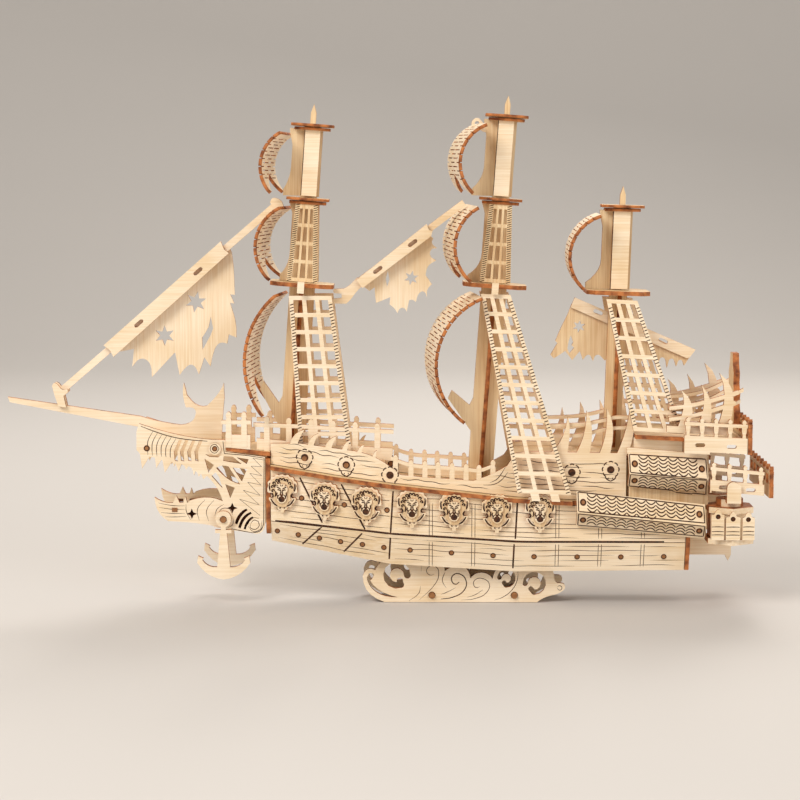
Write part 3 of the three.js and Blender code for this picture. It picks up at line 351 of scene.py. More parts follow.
def finish_of(node_name):
    for finish, words in FINISHES.items():
        if any(word in node_name for word in words):
            return finish
    return SIDE_PLY


for node_name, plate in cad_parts.items():
    plate.data.materials.clear()
    plate.data.materials.append(finish_of(node_name))
print("finished", len(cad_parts), "packed plates")

# %% [markdown]
# ## Cutting a plate
# A laser works from a flat drawing, and a flat curve in Blender is just such a drawing: closed lines
# inside an outline become holes, and the curve's extrusion gives it the thickness of the sheet. Once it
# is a mesh, its doubled points are merged, and its faces get two finishes: wood where a face looks the
# way the plate does, and char on all the cut walls. Then the plate is stood up where it belongs.

# %% The burnt edge
BURNT_EDGE, edge_tree, edge_shader = new_material("laser_cut_edge", Roughness=0.72, IOR=1.46)
edge_place = add_node(edge_tree, "ShaderNodeTexCoord")
edge_noise = add_node(
    edge_tree, "ShaderNodeTexNoise", [("Vector", edge_place.outputs["Object"])], Scale=260.0, Detail=3.0
)
edge_tone = add_node(edge_tree, "ShaderNodeValToRGB", [("Fac", edge_noise.outputs["Fac"])])
edge_tone.color_ramp.elements[0].position = 0.30
edge_tone.color_ramp.elements[0].color = srgb("#6E3517")
edge_tone.color_ramp.elements[1].position = 0.62
edge_tone.color_ramp.elements[1].color = srgb("#C97C42")
edge_tree.links.new(edge_tone.outputs["Color"], edge_shader.inputs["Base Color"])
print("finish of the cut walls:", BURNT_EDGE.name)

# %% [markdown]
# A drawing has two axes, a and b, and a plate faces the third. `TURNS` holds the turn from the drawing
# to each facing.

# %% From a drawing to a plate
SHIP = Matrix.Scale(MM, 4) @ Matrix.Translation((ZERO, 0.0, 0.0))
TURNS = {
    "y": Matrix(((1, 0, 0), (0, 0, -1), (0, 1, 0))).to_4x4(),
    "x": Matrix(((0, 0, 1), (1, 0, 0), (0, 1, 0))).to_4x4(),
    "z": Matrix.Identity(4),
}
LEVEL_AXIS = {"y": (0, 1, 0), "x": (1, 0, 0), "z": (0, 0, 1)}


def in_place(facing, level, frame_of=SHIP):
    """From a drawing's millimetres to the ship: the plate faces an axis, its middle at `level` on it."""
    return frame_of @ Matrix.Translation(Vector(LEVEL_AXIS[facing]) * level) @ TURNS[facing]


def draw(lines, open_ended=False):
    """A flat curve of these lines. (a, b) is a corner; (a, b, 1) is a point the line bends through."""
    bpy.ops.object.select_all(action="DESELECT")
    bpy.ops.curve.primitive_bezier_circle_add()
    piece = bpy.context.object
    piece.data.splines.clear()
    piece.data.resolution_u = 5
    for points in lines:
        line = piece.data.splines.new("BEZIER")
        line.bezier_points.add(len(points) - 1)
        line.use_cyclic_u = not open_ended
        for knot, (a, b, *soft) in zip(line.bezier_points, points):
            knot.co = (a, b, 0.0)
            knot.handle_left_type = knot.handle_right_type = "AUTO" if soft else "VECTOR"
    return piece


def close_seams(piece):
    """Merges doubled points and turns all faces outwards."""
    bpy.ops.object.mode_set(mode="EDIT")
    bpy.ops.mesh.select_all(action="SELECT")
    bpy.ops.mesh.remove_doubles(threshold=0.002)
    bpy.ops.mesh.normals_make_consistent(inside=False)
    bpy.ops.object.mode_set(mode="OBJECT")


def settle(piece, name, finish):
    """Names a finished piece, gives it its finish and lets it ride on the hull."""
    piece.name = name
    piece.data.name = name
    if not piece.data.materials:
        piece.data.materials.append(finish)
    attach(piece, "root")
    return piece


def flat_plate(lines, ply):
    """A closed plate that still lies in its drawing, half its thickness above and half below."""
    piece = draw(lines)
    piece.data.dimensions = "2D"
    piece.data.fill_mode = "BOTH"
    piece.data.extrude = ply / 2
    bpy.ops.object.convert(target="MESH")
    piece = bpy.context.object
    close_seams(piece)
    return piece


def two_finishes(piece, finish):
    """Wood on the faces that look up from the drawing or down, char on the walls."""
    piece.data.materials.clear()
    piece.data.materials.append(finish)
    piece.data.materials.append(BURNT_EDGE)
    for face in piece.data.polygons:
        face.material_index = 0 if abs(face.normal.z) > 0.7 else 1


def cut_plate(name, lines, facing, level, finish=None, ply=PLY, frame_of=SHIP):
    """Cuts a plate from its drawing and stands it in the ship."""
    finish = finish or {"y": SIDE_PLY, "x": CROSS_PLY, "z": DECK_PLY}[facing]
    piece = flat_plate(lines, ply)
    two_finishes(piece, finish)
    piece.data.transform(in_place(facing, level, frame_of))
    return settle(piece, name, finish)


def twin(piece):
    """The starboard twin of a port piece: mirrored, then turned right side out again."""
    other = piece.copy()
    other.data = piece.data.copy()
    bpy.context.collection.objects.link(other)
    other.parent = None
    other.data.transform(Matrix.Diagonal((1, -1, 1, 1)))
    other.data.flip_normals()
    finish = piece.data.materials[0]
    return settle(other, piece.name.removesuffix("_port") + "_starboard", finish)


def twins(*port_pieces):
    """The starboard twins of several port pieces."""
    return [twin(piece) for piece in port_pieces]


# %% [markdown]
# A few outlines come back again and again: boxes, circles, slots with round ends and the stars that are
# shot through the sails. Each helper gives the points of one, in the millimetres of its drawing.

# %% Outlines
def box_line(a0, b0, a1, b1):
    """A box from its low corner to its high corner."""
    return [(a0, b0), (a1, b0), (a1, b1), (a0, b1)]


def circle_line(a, b, radius, points=8):
    """A circle round (a, b)."""
    turns = [2 * math.pi * i / points for i in range(points)]
    return [(a + radius * math.cos(t), b + radius * math.sin(t), 1) for t in turns]


def slot_line(a, b, half_length, half_width, slope=0.0):
    """A slot with round ends, its middle at (a, b)."""
    turns = [math.pi * (i / 3 - 0.5) for i in range(4)]
    right = [(half_length + half_width * math.cos(t), half_width * math.sin(t)) for t in turns]
    left = [(-x, -z) for x, z in right]
    c, s = math.cos(slope), math.sin(slope)
    return [(a + x * c - z * s, b + x * s + z * c) for x, z in right + left]


def star_line(a, b, radius, inner=0.45, tips=6, turn=0.0):
    corners = []
    for i in range(2 * tips):
        reach = radius * (inner if i % 2 else 1.0)
        angle = turn + math.pi * i / tips
        corners.append((a + reach * math.sin(angle), b + reach * math.cos(angle)))
    return corners


print("drawing tools ready")

# %% [markdown]
# ## Engraving
# An engraved line is a shallow burnt groove 0.3 mm wide. From any distance it is simply a thin dark
# line whose ends fade, so it is drawn as one: an open curve with a small flattened section, half sunk
# into the face, thinner at both ends. All the lines of one plate are one piece.

# %% Burnt lines on a face
LINE = 0.34  # mm, width of an engraved line
PROUD = 0.3  # how much of a line's half width stands above the face


def engrave(name, strokes, facing, level, frame_of=SHIP, width=LINE, fade=0.35):
    """Draws burnt strokes on the face at `level`. Each stroke is a list of points, as in a drawing."""
    piece = draw(strokes, open_ended=True)
    piece.data.dimensions = "3D"
    piece.data.resolution_u = 4
    piece.data.bevel_depth = width / 2
    piece.data.bevel_resolution = 0
    piece.data.use_fill_caps = True
    for line in piece.data.splines:
        line.bezier_points[0].radius = fade
        line.bezier_points[-1].radius = fade
    bpy.ops.object.convert(target="MESH")
    piece = bpy.context.object
    piece.data.transform(in_place(facing, level, frame_of) @ Matrix.Diagonal((1, 1, PROUD, 1)))
    return settle(piece, name, BURNT_LINE)


print("engraving", LINE, "mm wide")

# %% [markdown]
# ## Masts
# Each mast stands on its own raked axis. Its low platform is a packed plate with the mast in its
# middle, so the platform's centre and the rake give the mast a frame of its own: u runs aft from the
# axis and w up it, in millimetres. Every piece of the mast is then drawn upright in that frame.

# %% The frame of each mast
MASTS = {
    "fore": {"rake": 4.1, "low": 82.0, "mid": 122.4, "top": 156.5, "turn": 5.0, "off": 0.0},
    "main": {"rake": 4.0, "low": 95.6, "mid": 136.3, "top": 174.8, "turn": -6.4, "off": 0.0},
    "mizzen": {"rake": 1.8, "low": 75.0, "mid": 75.0, "top": 115.0, "turn": 2.0, "off": -1.0},
}


def mast_frame(name):
    mast = MASTS[name]
    low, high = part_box(f"{name}_platform")
    middle = (low + high) / 2
    upright = Matrix.Translation(middle) @ Matrix.Rotation(math.radians(mast["rake"]), 4, "Y")
    return upright @ Matrix.Scale(MM, 4) @ Matrix.Translation((-mast["off"], 0.0, -mast["low"] - PLY / 2))


for name, mast in MASTS.items():
    mast["frame"] = mast_frame(name)
    print(name, "mast foot at", [round(v / MM, 1) for v in mast["frame"].translation])

# %% [markdown]
# Above its platforms a mast is boxed in with cladding plates, and the lower lengths have a cross plate
# that runs through the middle plate, so that only its burnt edge shows from the side. Small platforms
# of two thin layers ring the mast at the top and between its lengths.

# %% Cladding, cross plates and small platforms
CLAD_LEVEL = 4.0
CLADS = {"fore": (-3.4, 4.0), "main": (-4.0, 3.4), "mizzen": (-4.6, 3.6)}


def platform_line(fore, aft, half, cut):
    """An oblong with its four corners cut off."""
    corners = [(-fore, cut - half), (cut - fore, -half), (aft - cut, -half), (aft, cut - half)]
    return corners + [(a, -b) for a, b in reversed(corners)]


for name, mast in MASTS.items():
    here = mast["frame"]
    foot, head = mast["mid"] + PLY + 0.6, mast["top"] - 0.4
    fore, aft = CLADS[name]
    for side, level in (("port", -CLAD_LEVEL), ("starboard", CLAD_LEVEL)):
        cut_plate(f"{name}_cladding_{side}", [box_line(fore, foot, aft, head)], "y", level, frame_of=here)
        # the burnt line along the cladding's fore edge is partly the joint with the middle plate and partly
        # a painted shadow of the cladding standing proud
        edge_level = level + math.copysign(PLY / 2, level)
        engrave(
            f"{name}_seam_{side}", [[(fore + 0.1, foot), (fore + 0.1, head)]], "y", edge_level, here,
            fade=1.0,
        )
        middle = math.copysign(3.6, level)
        cross = [
            (middle - 2.3, 2.0), (middle + 2.3, 2.0), (middle + 2.3, mast["low"] - 0.6),
            (middle - 2.3, mast["low"] - 0.6),
        ]
        cut_plate(f"{name}_cross_plate_{side}", [cross], "x", 0.0, frame_of=here)
    pole = box_line(-1.9, -1.4, 1.9, 1.4)
    for layer, drop, reach in (("upper", 0.0, 10.0), ("lower", -1.7, 8.4)):
        cut_plate(
            f"{name}_top_platform_{layer}", [platform_line(reach, reach, reach - 1.5, 3.0), pole],
            "z", mast["top"] + 1.6 + drop, ply=1.3, frame_of=here,
        )
    if mast["mid"] > mast["low"]:
        neck = box_line(-4.5, -1.4, 4.5, 1.4)
        for layer, drop, reach in (("upper", 0.4, 10.0), ("lower", -1.3, 8.6)):
            cut_plate(
                f"{name}_mid_platform_{layer}", [platform_line(reach, reach, reach - 1.0, 3.0), neck],
                "z", mast["mid"] + 0.6 + drop, ply=1.3, frame_of=here,
            )

# %% [markdown]
# The ratlines of the middle lengths are narrow ladder plates with three columns of slots, and their
# two long sides are engraved to look like laid rope: short slanted strokes one millimetre apart. The
# same strokes dress the sides of the big shrouds further down.

# %% Rope edges and ladder plates
ROPE_PITCH = 1.05


def rope_strokes(foot, head, width, lean):
    """Slanted strokes along a rope `width` wide, from the point foot to the point head."""
    (a0, b0), (a1, b1) = foot, head
    length = math.hypot(a1 - a0, b1 - b0)
    strokes = []
    for i in range(int(length / ROPE_PITCH)):
        share = (i + 0.5) * ROPE_PITCH / length
        a, b = a0 + (a1 - a0) * share, b0 + (b1 - b0) * share
        strokes.append([(a - width / 2, b - lean), (a, b - lean * 0.2, 1), (a + width / 2, b + lean)])
    return strokes


LADDER_LEVEL = 6.3
LADDER_FOOT, LADDER_HEAD = 7.3, 5.3
LADDER_PLY = 1.5


def ladder_half(w, foot, head):
    """Half the width of a ladder at height w."""
    return LADDER_FOOT + (LADDER_HEAD - LADDER_FOOT) * (w - foot) / (head - foot)


for name in ("fore", "main"):
    mast = MASTS[name]
    here = mast["frame"]
    foot, head = mast["low"] + PLY + 0.5, mast["mid"] - 1.2
    outline = [(-LADDER_FOOT, foot), (LADDER_FOOT, foot), (LADDER_HEAD, head), (-LADDER_HEAD, head)]
    slots = []
    rows = 4
    pitch = (head - foot - 2.4) / rows
    for row in range(rows):
        low, high = foot + 1.8 + row * pitch, foot + 1.8 + (row + 1) * pitch - 1.7
        for column in range(3):
            edges = []
            for w in (low, high):
                inner = ladder_half(w, foot, head) - 2.3
                step = (2 * inner + 1.1) / 3
                left = -inner + column * step
                edges.append((left, left + step - 1.1))
            slots.append([(edges[0][0], low), (edges[0][1], low), (edges[1][1], high), (edges[1][0], high)])
    for side, level in (("port", -LADDER_LEVEL), ("starboard", LADDER_LEVEL)):
        cut_plate(f"{name}_ladder_{side}", [outline, *slots], "y", level, MAST_PLY, LADDER_PLY, here)
        strokes = []
        for turn in (-1, 1):
            strokes += rope_strokes(
                (turn * (LADDER_FOOT - 1.1), foot), (turn * (LADDER_HEAD - 1.1), head), 2.0, 0.35
            )
        face = level + math.copysign(LADDER_PLY / 2, level)
        engrave(f"{name}_ladder_rope_{side}", strokes, "y", face, here, width=0.42, fade=0.9)
        neck = [(-1.6, mast["low"] - 2.6), (1.6, mast["low"] - 2.6), (1.6, foot + 0.4), (-1.6, foot + 0.4)]
        cut_plate(
            f"{name}_shroud_tab_{side}", [neck], "y", math.copysign(13.8, level), SIDE_PLY, 1.2, here
        )
print("ladders with", rows, "rows of slots")

# %% [markdown]
# ## Bent sails
# Plywood this thin can't be bent as it is, so each sail is cut with rows of short slits that turn it
# into a hinge: every second row has a slit in the middle and one from each side, and the rows between
# have two slits that overlap them. The band is first cut flat with its slits and the notch of its foot.
# It is then bisected along every row, so that it has points to bend by, and rolled onto an arc that
# passes through three points of the mast.

# %% Arcs and slits
BAND_HALF = 20.0
ROW = 1.9  # mm between two rows of slits
SLIT = 0.5  # width of a slit
SAILS = {
    "fore_top": ((-12.4, 153.4), (-20.7, 138.0), (-15.2, 125.4), 134.0),
    "fore_mid": ((-10.5, 118.6), (-20.6, 99.4), (-13.0, 84.8), 94.0),
    "fore_low": ((-10.0, 77.5), (-22.3, 47.0), (-12.0, 20.5), 38.0),
    "main_top": ((-12.0, 171.4), (-23.2, 152.5), (-16.0, 139.4), 148.0),
    "main_mid": ((-13.0, 133.0), (-22.8, 116.0), (-14.0, 98.4), 108.0),
    "main_low": ((-8.0, 91.0), (-27.6, 61.0), (-12.0, 32.0), 50.0),
    "mizzen_top": ((-10.8, 112.0), (-24.6, 94.0), (-17.4, 77.6), 88.0),
}


def circle_through(p, q, r):
    """The middle and radius of the circle through three points."""
    (ax, ay), (bx, by), (cx, cy) = p, q, r
    d = 2 * (ax * (by - cy) + bx * (cy - ay) + cx * (ay - by))
    pp, qq, rr = ax * ax + ay * ay, bx * bx + by * by, cx * cx + cy * cy
    ox = (pp * (by - cy) + qq * (cy - ay) + rr * (ay - by)) / d
    oy = (pp * (cx - bx) + qq * (ax - cx) + rr * (bx - ax)) / d
    return (ox, oy), math.hypot(ax - ox, ay - oy)


def sail_slits(length, notch):
    """Rows of slits from the head down. Below the notch they stay inside the two tails."""
    slits = []
    rows = int((length - 5.0) / ROW)
    for row in range(2, rows):
        b = row * ROW
        inner = 0.0
        if b > notch:
            inner = (BAND_HALF - 3.0) * (b - notch) / (length - notch)
        tail = BAND_HALF - inner
        if tail < 5.5:
            break
        spans = [(-6.2, 6.2), (13.4, 20.5)] if row % 2 == 0 else [(1.2, 16.4)]
        for from_a, to_a in spans:
            for sign in (-1, 1):
                start = max(from_a, inner + 1.0) if b > notch - ROW else from_a
                if from_a < 0 and sign > 0 and b <= notch - ROW:
                    continue
                if to_a - start > 1.5:
                    slits.append((sign * start, sign * to_a, b))
    return slits


print("slits in a sail of 60 mm:", len(sail_slits(60.0, 45.0)))

# %% [markdown]
# Rolling happens point by point: the distance along the flat band becomes an angle on the arc, and the
# height over the band becomes a change of the arc's radius, so the sail keeps its thickness all round.

# %% Rolling a sail
def turn_to(point, middle):
    """The angle at which a point is seen from the middle of its arc, from 0 to a full turn."""
    return math.atan2(point[1] - middle[1], point[0] - middle[0]) % (2 * math.pi)


def roll_sail(name):
    """Cuts one sail flat, rolls it onto its arc and hides the plain band it replaces."""
    head, belly, foot, notch_w = SAILS[name]
    (ou, ow), radius = circle_through(head, belly, foot)
    start, end = turn_to(head, (ou, ow)), turn_to(foot, (ou, ow))
    length = radius * (end - start)
    notch_turn = math.pi + math.asin(max(-1.0, min(1.0, (ow - notch_w) / radius)))
    notch = radius * (notch_turn - start)
    tail = 3.0
    outline = [(-BAND_HALF, 0), (BAND_HALF, 0)]
    edge_cuts = {1: [], -1: []}
    holes = []
    for a0, a1, b in sail_slits(length, notch):
        low, high = sorted((a0, a1))
        if high > BAND_HALF:
            edge_cuts[1].append((low, b))
        elif low < -BAND_HALF:
            edge_cuts[-1].append((high, b))
        else:
            holes.append(box_line(low, b - SLIT / 2, high, b + SLIT / 2))
    for a, b in edge_cuts[1]:
        outline += [
            (BAND_HALF, b - SLIT / 2), (a, b - SLIT / 2), (a, b + SLIT / 2), (BAND_HALF, b + SLIT / 2),
        ]
    outline += [(BAND_HALF, length - 1.5), (BAND_HALF - tail / 2, length), (BAND_HALF - tail, length - 0.8)]
    outline += [
        (0.0, notch), (tail - BAND_HALF, length - 0.8), (tail / 2 - BAND_HALF, length),
        (-BAND_HALF, length - 1.5),
    ]
    for a, b in reversed(edge_cuts[-1]):
        outline += [
            (-BAND_HALF, b + SLIT / 2), (a, b + SLIT / 2), (a, b - SLIT / 2),
            (-BAND_HALF, b - SLIT / 2),
        ]
    sail = flat_plate([outline, *holes], PLY - 0.4)
    two_finishes(sail, SAIL_PLY)
    bpy.ops.object.mode_set(mode="EDIT")
    for row in range(1, int(length / ROW) + 1):
        for shift in (0.0, ROW / 2):
            bpy.ops.mesh.select_all(action="SELECT")
            bpy.ops.mesh.bisect(plane_co=(0, row * ROW - shift, 0), plane_no=(0, 1, 0))
    bpy.ops.object.mode_set(mode="OBJECT")
    for point in sail.data.vertices:
        turn = start + point.co.y / radius
        reach = radius + point.co.z
        point.co = (ou + reach * math.cos(turn), point.co.x, ow + reach * math.sin(turn))
    mast = MASTS[name.split("_")[0]]
    swing = Matrix.Rotation(math.radians(-mast["turn"]), 4, "Z")
    sail.data.transform(mast["frame"] @ swing)
    settle(sail, f"{name}_sail_band", SAIL_PLY)
    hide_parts(f"{name}_sail")
    bpy.ops.object.mode_set(mode="EDIT")
    bpy.ops.mesh.select_all(action="SELECT")
    bpy.ops.mesh.normals_make_consistent(inside=False)
    bpy.ops.object.mode_set(mode="OBJECT")
    return len(holes) + len(edge_cuts[1]) + len(edge_cuts[-1])


for name in SAILS:
    print(name, "sail:", roll_sail(name), "slits")

# %% [markdown]
# The fore-and-aft sails are torn sheets that hang from a batten. The batten is a long plate with two
# slots, laid over the yard's stick, and the sheet hangs a little behind it. Each sheet has ragged
# points along its foot, one or two star-shaped shot holes and a tear.

# %% Jib
def along_line(start, end, share, off=0.0):
    """A point on the way from start to end, moved sideways by `off`."""
    (a0, b0), (a1, b1) = start, end
    length = math.hypot(a1 - a0, b1 - b0)
    ua, ub = (a1 - a0) / length, (b1 - b0) / length
    return (a0 + (a1 - a0) * share - ub * off, b0 + (b1 - b0) * share + ua * off)


def stick_line(start, end, half):
    """A straight stick from start to end."""
    corners = ((0, -half), (1, -half), (1, half), (0, half))
    return [along_line(start, end, share, off) for share, off in corners]


jib_foot, jib_head = (-158.6, 99.6), (-53.6, 189.6)
jib_slope = math.atan2(jib_head[1] - jib_foot[1], jib_head[0] - jib_foot[0])
cut_plate("jib_yard_stick", [stick_line(jib_foot, jib_head, 1.65)], "y", 0.0)
jib_batten = [
    (-136.2, 122.9), (-133.0, 120.3), (-131.6, 117.3), (-76.0, 166.8), (-78.2, 168.6), (-79.8, 172.4),
]
cut_plate(
    "jib_batten",
    [
        jib_batten, slot_line(-119.2, 133.4, 1.7, 0.95, jib_slope),
        slot_line(-90.7, 158.2, 1.7, 0.95, jib_slope),
    ],
    "y", -2.1,
)
jib_sheet = [
    (-130.6, 119.2), (-122.3, 120.8), (-123.3, 112.2), (-119.6, 115.9, 1), (-116.6, 115.6, 1),
    (-114.6, 113.2, 1), (-113.9, 107.2), (-102.6, 119.2), (-100.6, 108.2), (-97.6, 111.8, 1),
    (-95.4, 113.2, 1), (-93.6, 112.6, 1), (-91.3, 108.6), (-88.6, 116.8), (-85.7, 112.4),
    (-84.6, 117.6, 1), (-82.4, 122.6, 1), (-80.6, 123.8, 1), (-77.5, 123.4), (-76.8, 127.8),
    (-73.1, 126.3), (-73.5, 133.6, 1), (-76.0, 142.9), (-74.0, 142.6), (-75.9, 146.9), (-73.7, 146.8),
    (-74.3, 160.7, 1), (-75.0, 167.0), (-77.0, 170.6), (-133.0, 121.0),
]
jib_tear = [
    (-85.3, 136.4), (-84.2, 130.6), (-85.6, 127.2), (-89.4, 120.4), (-89.6, 126.2), (-88.0, 128.6),
    (-86.4, 131.4),
]
jib = cut_plate(
    "jib_sail_sheet",
    [jib_sheet, jib_tear, star_line(-92.3, 143.3, 5.2, turn=0.2), star_line(-107.5, 127.2, 5.0)],
    "y", 2.0, SHEET_PLY, 1.2,
)
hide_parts("jib_yard")
print("jib slope:", round(math.degrees(jib_slope), 1), "degrees")

# %% [markdown]
# The gaff sail hangs between the main and the fore mast. Its stick ends in a fork that grips the fore
# mast's platform, so the fork is a hair thicker than the stick that lies in the same plane.

# %% Gaff sail
gaff_foot, gaff_head = (-16.6, 151.6), (35.6, 190.6)
gaff_slope = math.atan2(gaff_head[1] - gaff_foot[1], gaff_head[0] - gaff_foot[0])
fork = [
    (-26.3, 149.7), (-26.6, 148.6, 1), (-26.0, 147.7), (-22.6, 147.4), (-22.6, 145.4), (-26.0, 145.1),
    (-26.6, 144.2, 1), (-26.0, 142.8), (-20.4, 142.7), (-18.6, 144.4, 1), (-14.6, 149.4, 1),
    (-12.2, 151.4), (-15.2, 155.2), (-19.0, 151.4, 1), (-21.4, 149.9),
]
cut_plate("gaff_fork", [fork], "y", 0.0, ply=2.2)
cut_plate("gaff_stick", [stick_line(gaff_foot, gaff_head, 1.6)], "y", 0.0)
gaff_batten = [(-15.6, 154.0), (-12.6, 150.2), (20.0, 174.9), (20.6, 177.2), (19.0, 177.8), (17.8, 180.6)]
cut_plate(
    "gaff_batten",
    [
        gaff_batten, slot_line(-5.3, 158.9, 1.7, 0.95, gaff_slope),
        slot_line(11.2, 171.6, 1.7, 0.95, gaff_slope),
    ],
    "y", -2.1,
)
gaff_sheet = [
    (-11.9, 150.5), (-9.4, 148.6), (-6.9, 150.4), (-6.6, 146.0, 1), (-6.2, 142.9), (0.6, 145.7),
    (0.2, 142.2), (2.6, 140.2, 1), (4.0, 138.0), (5.0, 140.0, 1), (6.4, 140.6, 1), (7.6, 140.0, 1),
    (8.4, 138.7), (9.6, 144.3), (11.2, 144.4, 1), (12.8, 143.4), (14.0, 147.0, 1), (15.6, 148.4, 1),
    (17.0, 148.0, 1), (18.0, 145.6), (18.4, 149.6, 1), (20.4, 151.8), (17.4, 156.2), (18.6, 160.4, 1),
    (22.4, 163.2), (19.6, 165.6, 1), (20.2, 168.4, 1), (22.8, 169.0), (20.4, 171.6, 1), (21.0, 173.6),
    (18.0, 176.6), (-14.0, 152.0),
]
gaff_sail = cut_plate(
    "gaff_sail_sheet",
    [
        gaff_sheet, star_line(10.6, 154.8, 3.6, turn=0.2),
        [(-0.6, 158.4), (0.2, 154.0), (-1.0, 150.6), (-1.6, 154.2)],
    ],
    "y", 2.0, SHEET_PLY, 1.2,
)
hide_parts("gaff")
print("gaff slope:", round(math.degrees(gaff_slope), 1), "degrees")

# %% [markdown]
# The mizzen sail hangs across the mizzen mast, so its batten slopes down towards the stern.

# %% Mizzen sail
mizzen_head = [(88.6, 145.6), (86.6, 140.9), (142.2, 116.6), (143.8, 116.8), (146.6, 120.6)]
mizzen_slope = math.atan2(121.0 - 145.3, 146.2 - 89.8)
cut_plate(
    "mizzen_batten",
    [
        mizzen_head, slot_line(99.8, 138.5, 1.5, 1.0, mizzen_slope),
        slot_line(131.0, 124.8, 1.5, 1.0, mizzen_slope),
    ],
    "y", 1.9, ply=1.4,
)
mizzen_sheet = [
    (87.2, 142.4), (85.6, 138.0, 1), (82.0, 130.4, 1), (79.6, 124.6), (80.6, 123.6), (77.3, 118.0),
    (78.9, 116.2), (84.4, 119.8), (87.8, 115.4), (91.4, 119.8), (92.9, 115.6), (95.6, 118.0, 1),
    (97.7, 115.0), (99.6, 118.0, 1), (103.4, 115.2), (107.0, 118.0, 1), (111.0, 114.4), (115.6, 117.6, 1),
    (120.0, 113.6), (124.0, 117.0, 1), (128.6, 112.6), (131.0, 116.8, 1), (133.2, 111.8),
    (135.4, 116.2, 1), (137.6, 112.4), (139.6, 115.6, 1), (141.4, 112.8), (144.4, 117.6), (120.0, 130.0),
]
mizzen_tear = [
    (87.0, 127.4), (88.2, 124.0), (87.4, 122.6), (88.6, 121.4), (86.4, 118.6), (85.4, 121.0),
    (86.0, 124.6),
]
mizzen = cut_plate(
    "mizzen_sail_sheet",
    [mizzen_sheet, star_line(90.9, 131.6, 3.2, turn=0.15), mizzen_tear],
    "y", 3.4, MAST_PLY, 1.2,
)
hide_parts("mizzen_sail")
print("mizzen slope:", round(math.degrees(mizzen_slope), 1), "degrees")

# %% [markdown]
# The jib's stick stands in a small forked bracket on the bowsprit, and two ring-ended lugs stand on the
# main and fore masts, where a real ship would lead its stays.

# %% Bracket and lugs
bracket = [
    (-161.2, 103.4), (-160.2, 104.8, 1), (-158.6, 104.2), (-156.2, 101.6, 1), (-153.8, 101.9),
    (-153.6, 100.4), (-155.8, 98.6), (-154.6, 93.0), (-158.4, 93.6), (-160.2, 99.2),
]
for side, level in (("port", -2.4), ("starboard", 2.4)):
    cut_plate(f"jib_bracket_{side}", [bracket], "y", level, ply=1.4)
ring_lug = [
    (38.9, 227.7, 1), (41.5, 230.4, 1), (44.1, 228.4, 1), (45.6, 226.6, 1), (49.6, 226.4), (49.6, 223.6),
    (45.0, 223.8, 1), (42.6, 225.0, 1), (40.6, 225.2, 1),
]
cut_plate("main_ring_lug", [ring_lug, circle_line(41.5, 227.8, 1.1, 6)], "y", 0.0, ply=1.8)
knob = [
    (-56.4, 190.6), (-55.4, 192.6, 1), (-52.8, 192.6, 1), (-50.8, 191.2), (-49.6, 187.8),
    (-51.6, 186.0, 1), (-54.0, 187.6),
]
cut_plate("fore_stay_knob", [knob], "y", 0.0, ply=2.4)
print("jib bracket, ring lug and stay knob")

# %% [markdown]
# ## Dressing the hull
# The strakes and the bulwark are bent round the frames, so nothing flat fits them exactly. Each engraved
# line or applied ornament is therefore drawn flat at the side of the ship and then draped: every one of
# its points looks straight inwards and stops at the first plate that it meets.

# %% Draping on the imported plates
def surface(nodes, x, z):
    """Where a look from the port side first meets one of the plates, in metres, or None."""
    found = None
    for node in nodes:
        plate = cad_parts[node]
        inwards = plate.matrix_world.inverted()
        start = inwards @ Vector((x, -0.2, z))
        way = inwards.to_3x3() @ Vector((0.0, 1.0, 0.0))
        hit, spot, _, _ = plate.ray_cast(start, way.normalized())
        if hit:
            y = (plate.matrix_world @ spot).y
            if found is None or y < found:
                found = y
    return found


def drape(piece, nodes, rest=-18.0):
    """Lays a piece drawn at level 0 on the port plates. A point beside them goes as deep as its nearest
    neighbour on them, and a piece in front of an opening goes to level `rest`."""
    points = piece.data.vertices
    depths = [surface(nodes, point.co.x, point.co.z) for point in points]
    on_plate = kdtree.KDTree(len(points))
    for number, point in enumerate(points):
        if depths[number] is not None:
            on_plate.insert((point.co.x, 0.0, point.co.z), number)
    on_plate.balance()
    for number, point in enumerate(points):
        depth = depths[number]
        if depth is None:
            _, neighbour, _ = on_plate.find((point.co.x, 0.0, point.co.z))
            depth = rest * MM if neighbour is None else depths[neighbour]
        point.co.y += depth
    return piece


def trim(strokes, node):
    """The strokes without the points that miss the plate."""
    trimmed = []
    for stroke in strokes:
        met = [point for point in stroke if surface([node], at(point[0], 0, 0).x, point[1] * MM) is not None]
        if len(met) > 1:
            trimmed.append(met)
    return trimmed


def span(node, station):
    """The lowest and highest height in millimetres at which a look at this station meets the plate."""
    heights = [z / 4 for z in range(60, 400) if surface([node], at(station, 0, 0).x, z / 4 * MM) is not None]
    return (heights[0], heights[-1]) if heights else None


def merge(name, pieces, finish):
    """Joins several flat boards into one piece."""
    bpy.ops.object.select_all(action="DESELECT")
    for piece in pieces:
        piece.select_set(True)
    bpy.context.view_layer.objects.active = pieces[0]
    bpy.ops.object.join()
    return settle(bpy.context.object, name, finish)


GUN, BILGE, BULWARK = "gun_strake_port", "bilge_strake_port", "bulwark_port"
STATIONS = [-54 + 8 * i for i in range(25)]
spans = {node: {x: span(node, x) for x in STATIONS} for node in (GUN, BILGE, BULWARK)}
print("gun strake at station 0:", spans[GUN][-54 + 8 * 7])

# %% [markdown]
# A plank line is scorched lightly and never runs the whole length: it breaks off and starts again, a
# little higher or lower, like a crack between short planks. The lines follow the sheer, because each
# one keeps its share of the strake's height. The seams between plates are deeper and blacker.

# %% Plank lines and seams
rng = random.Random(7)


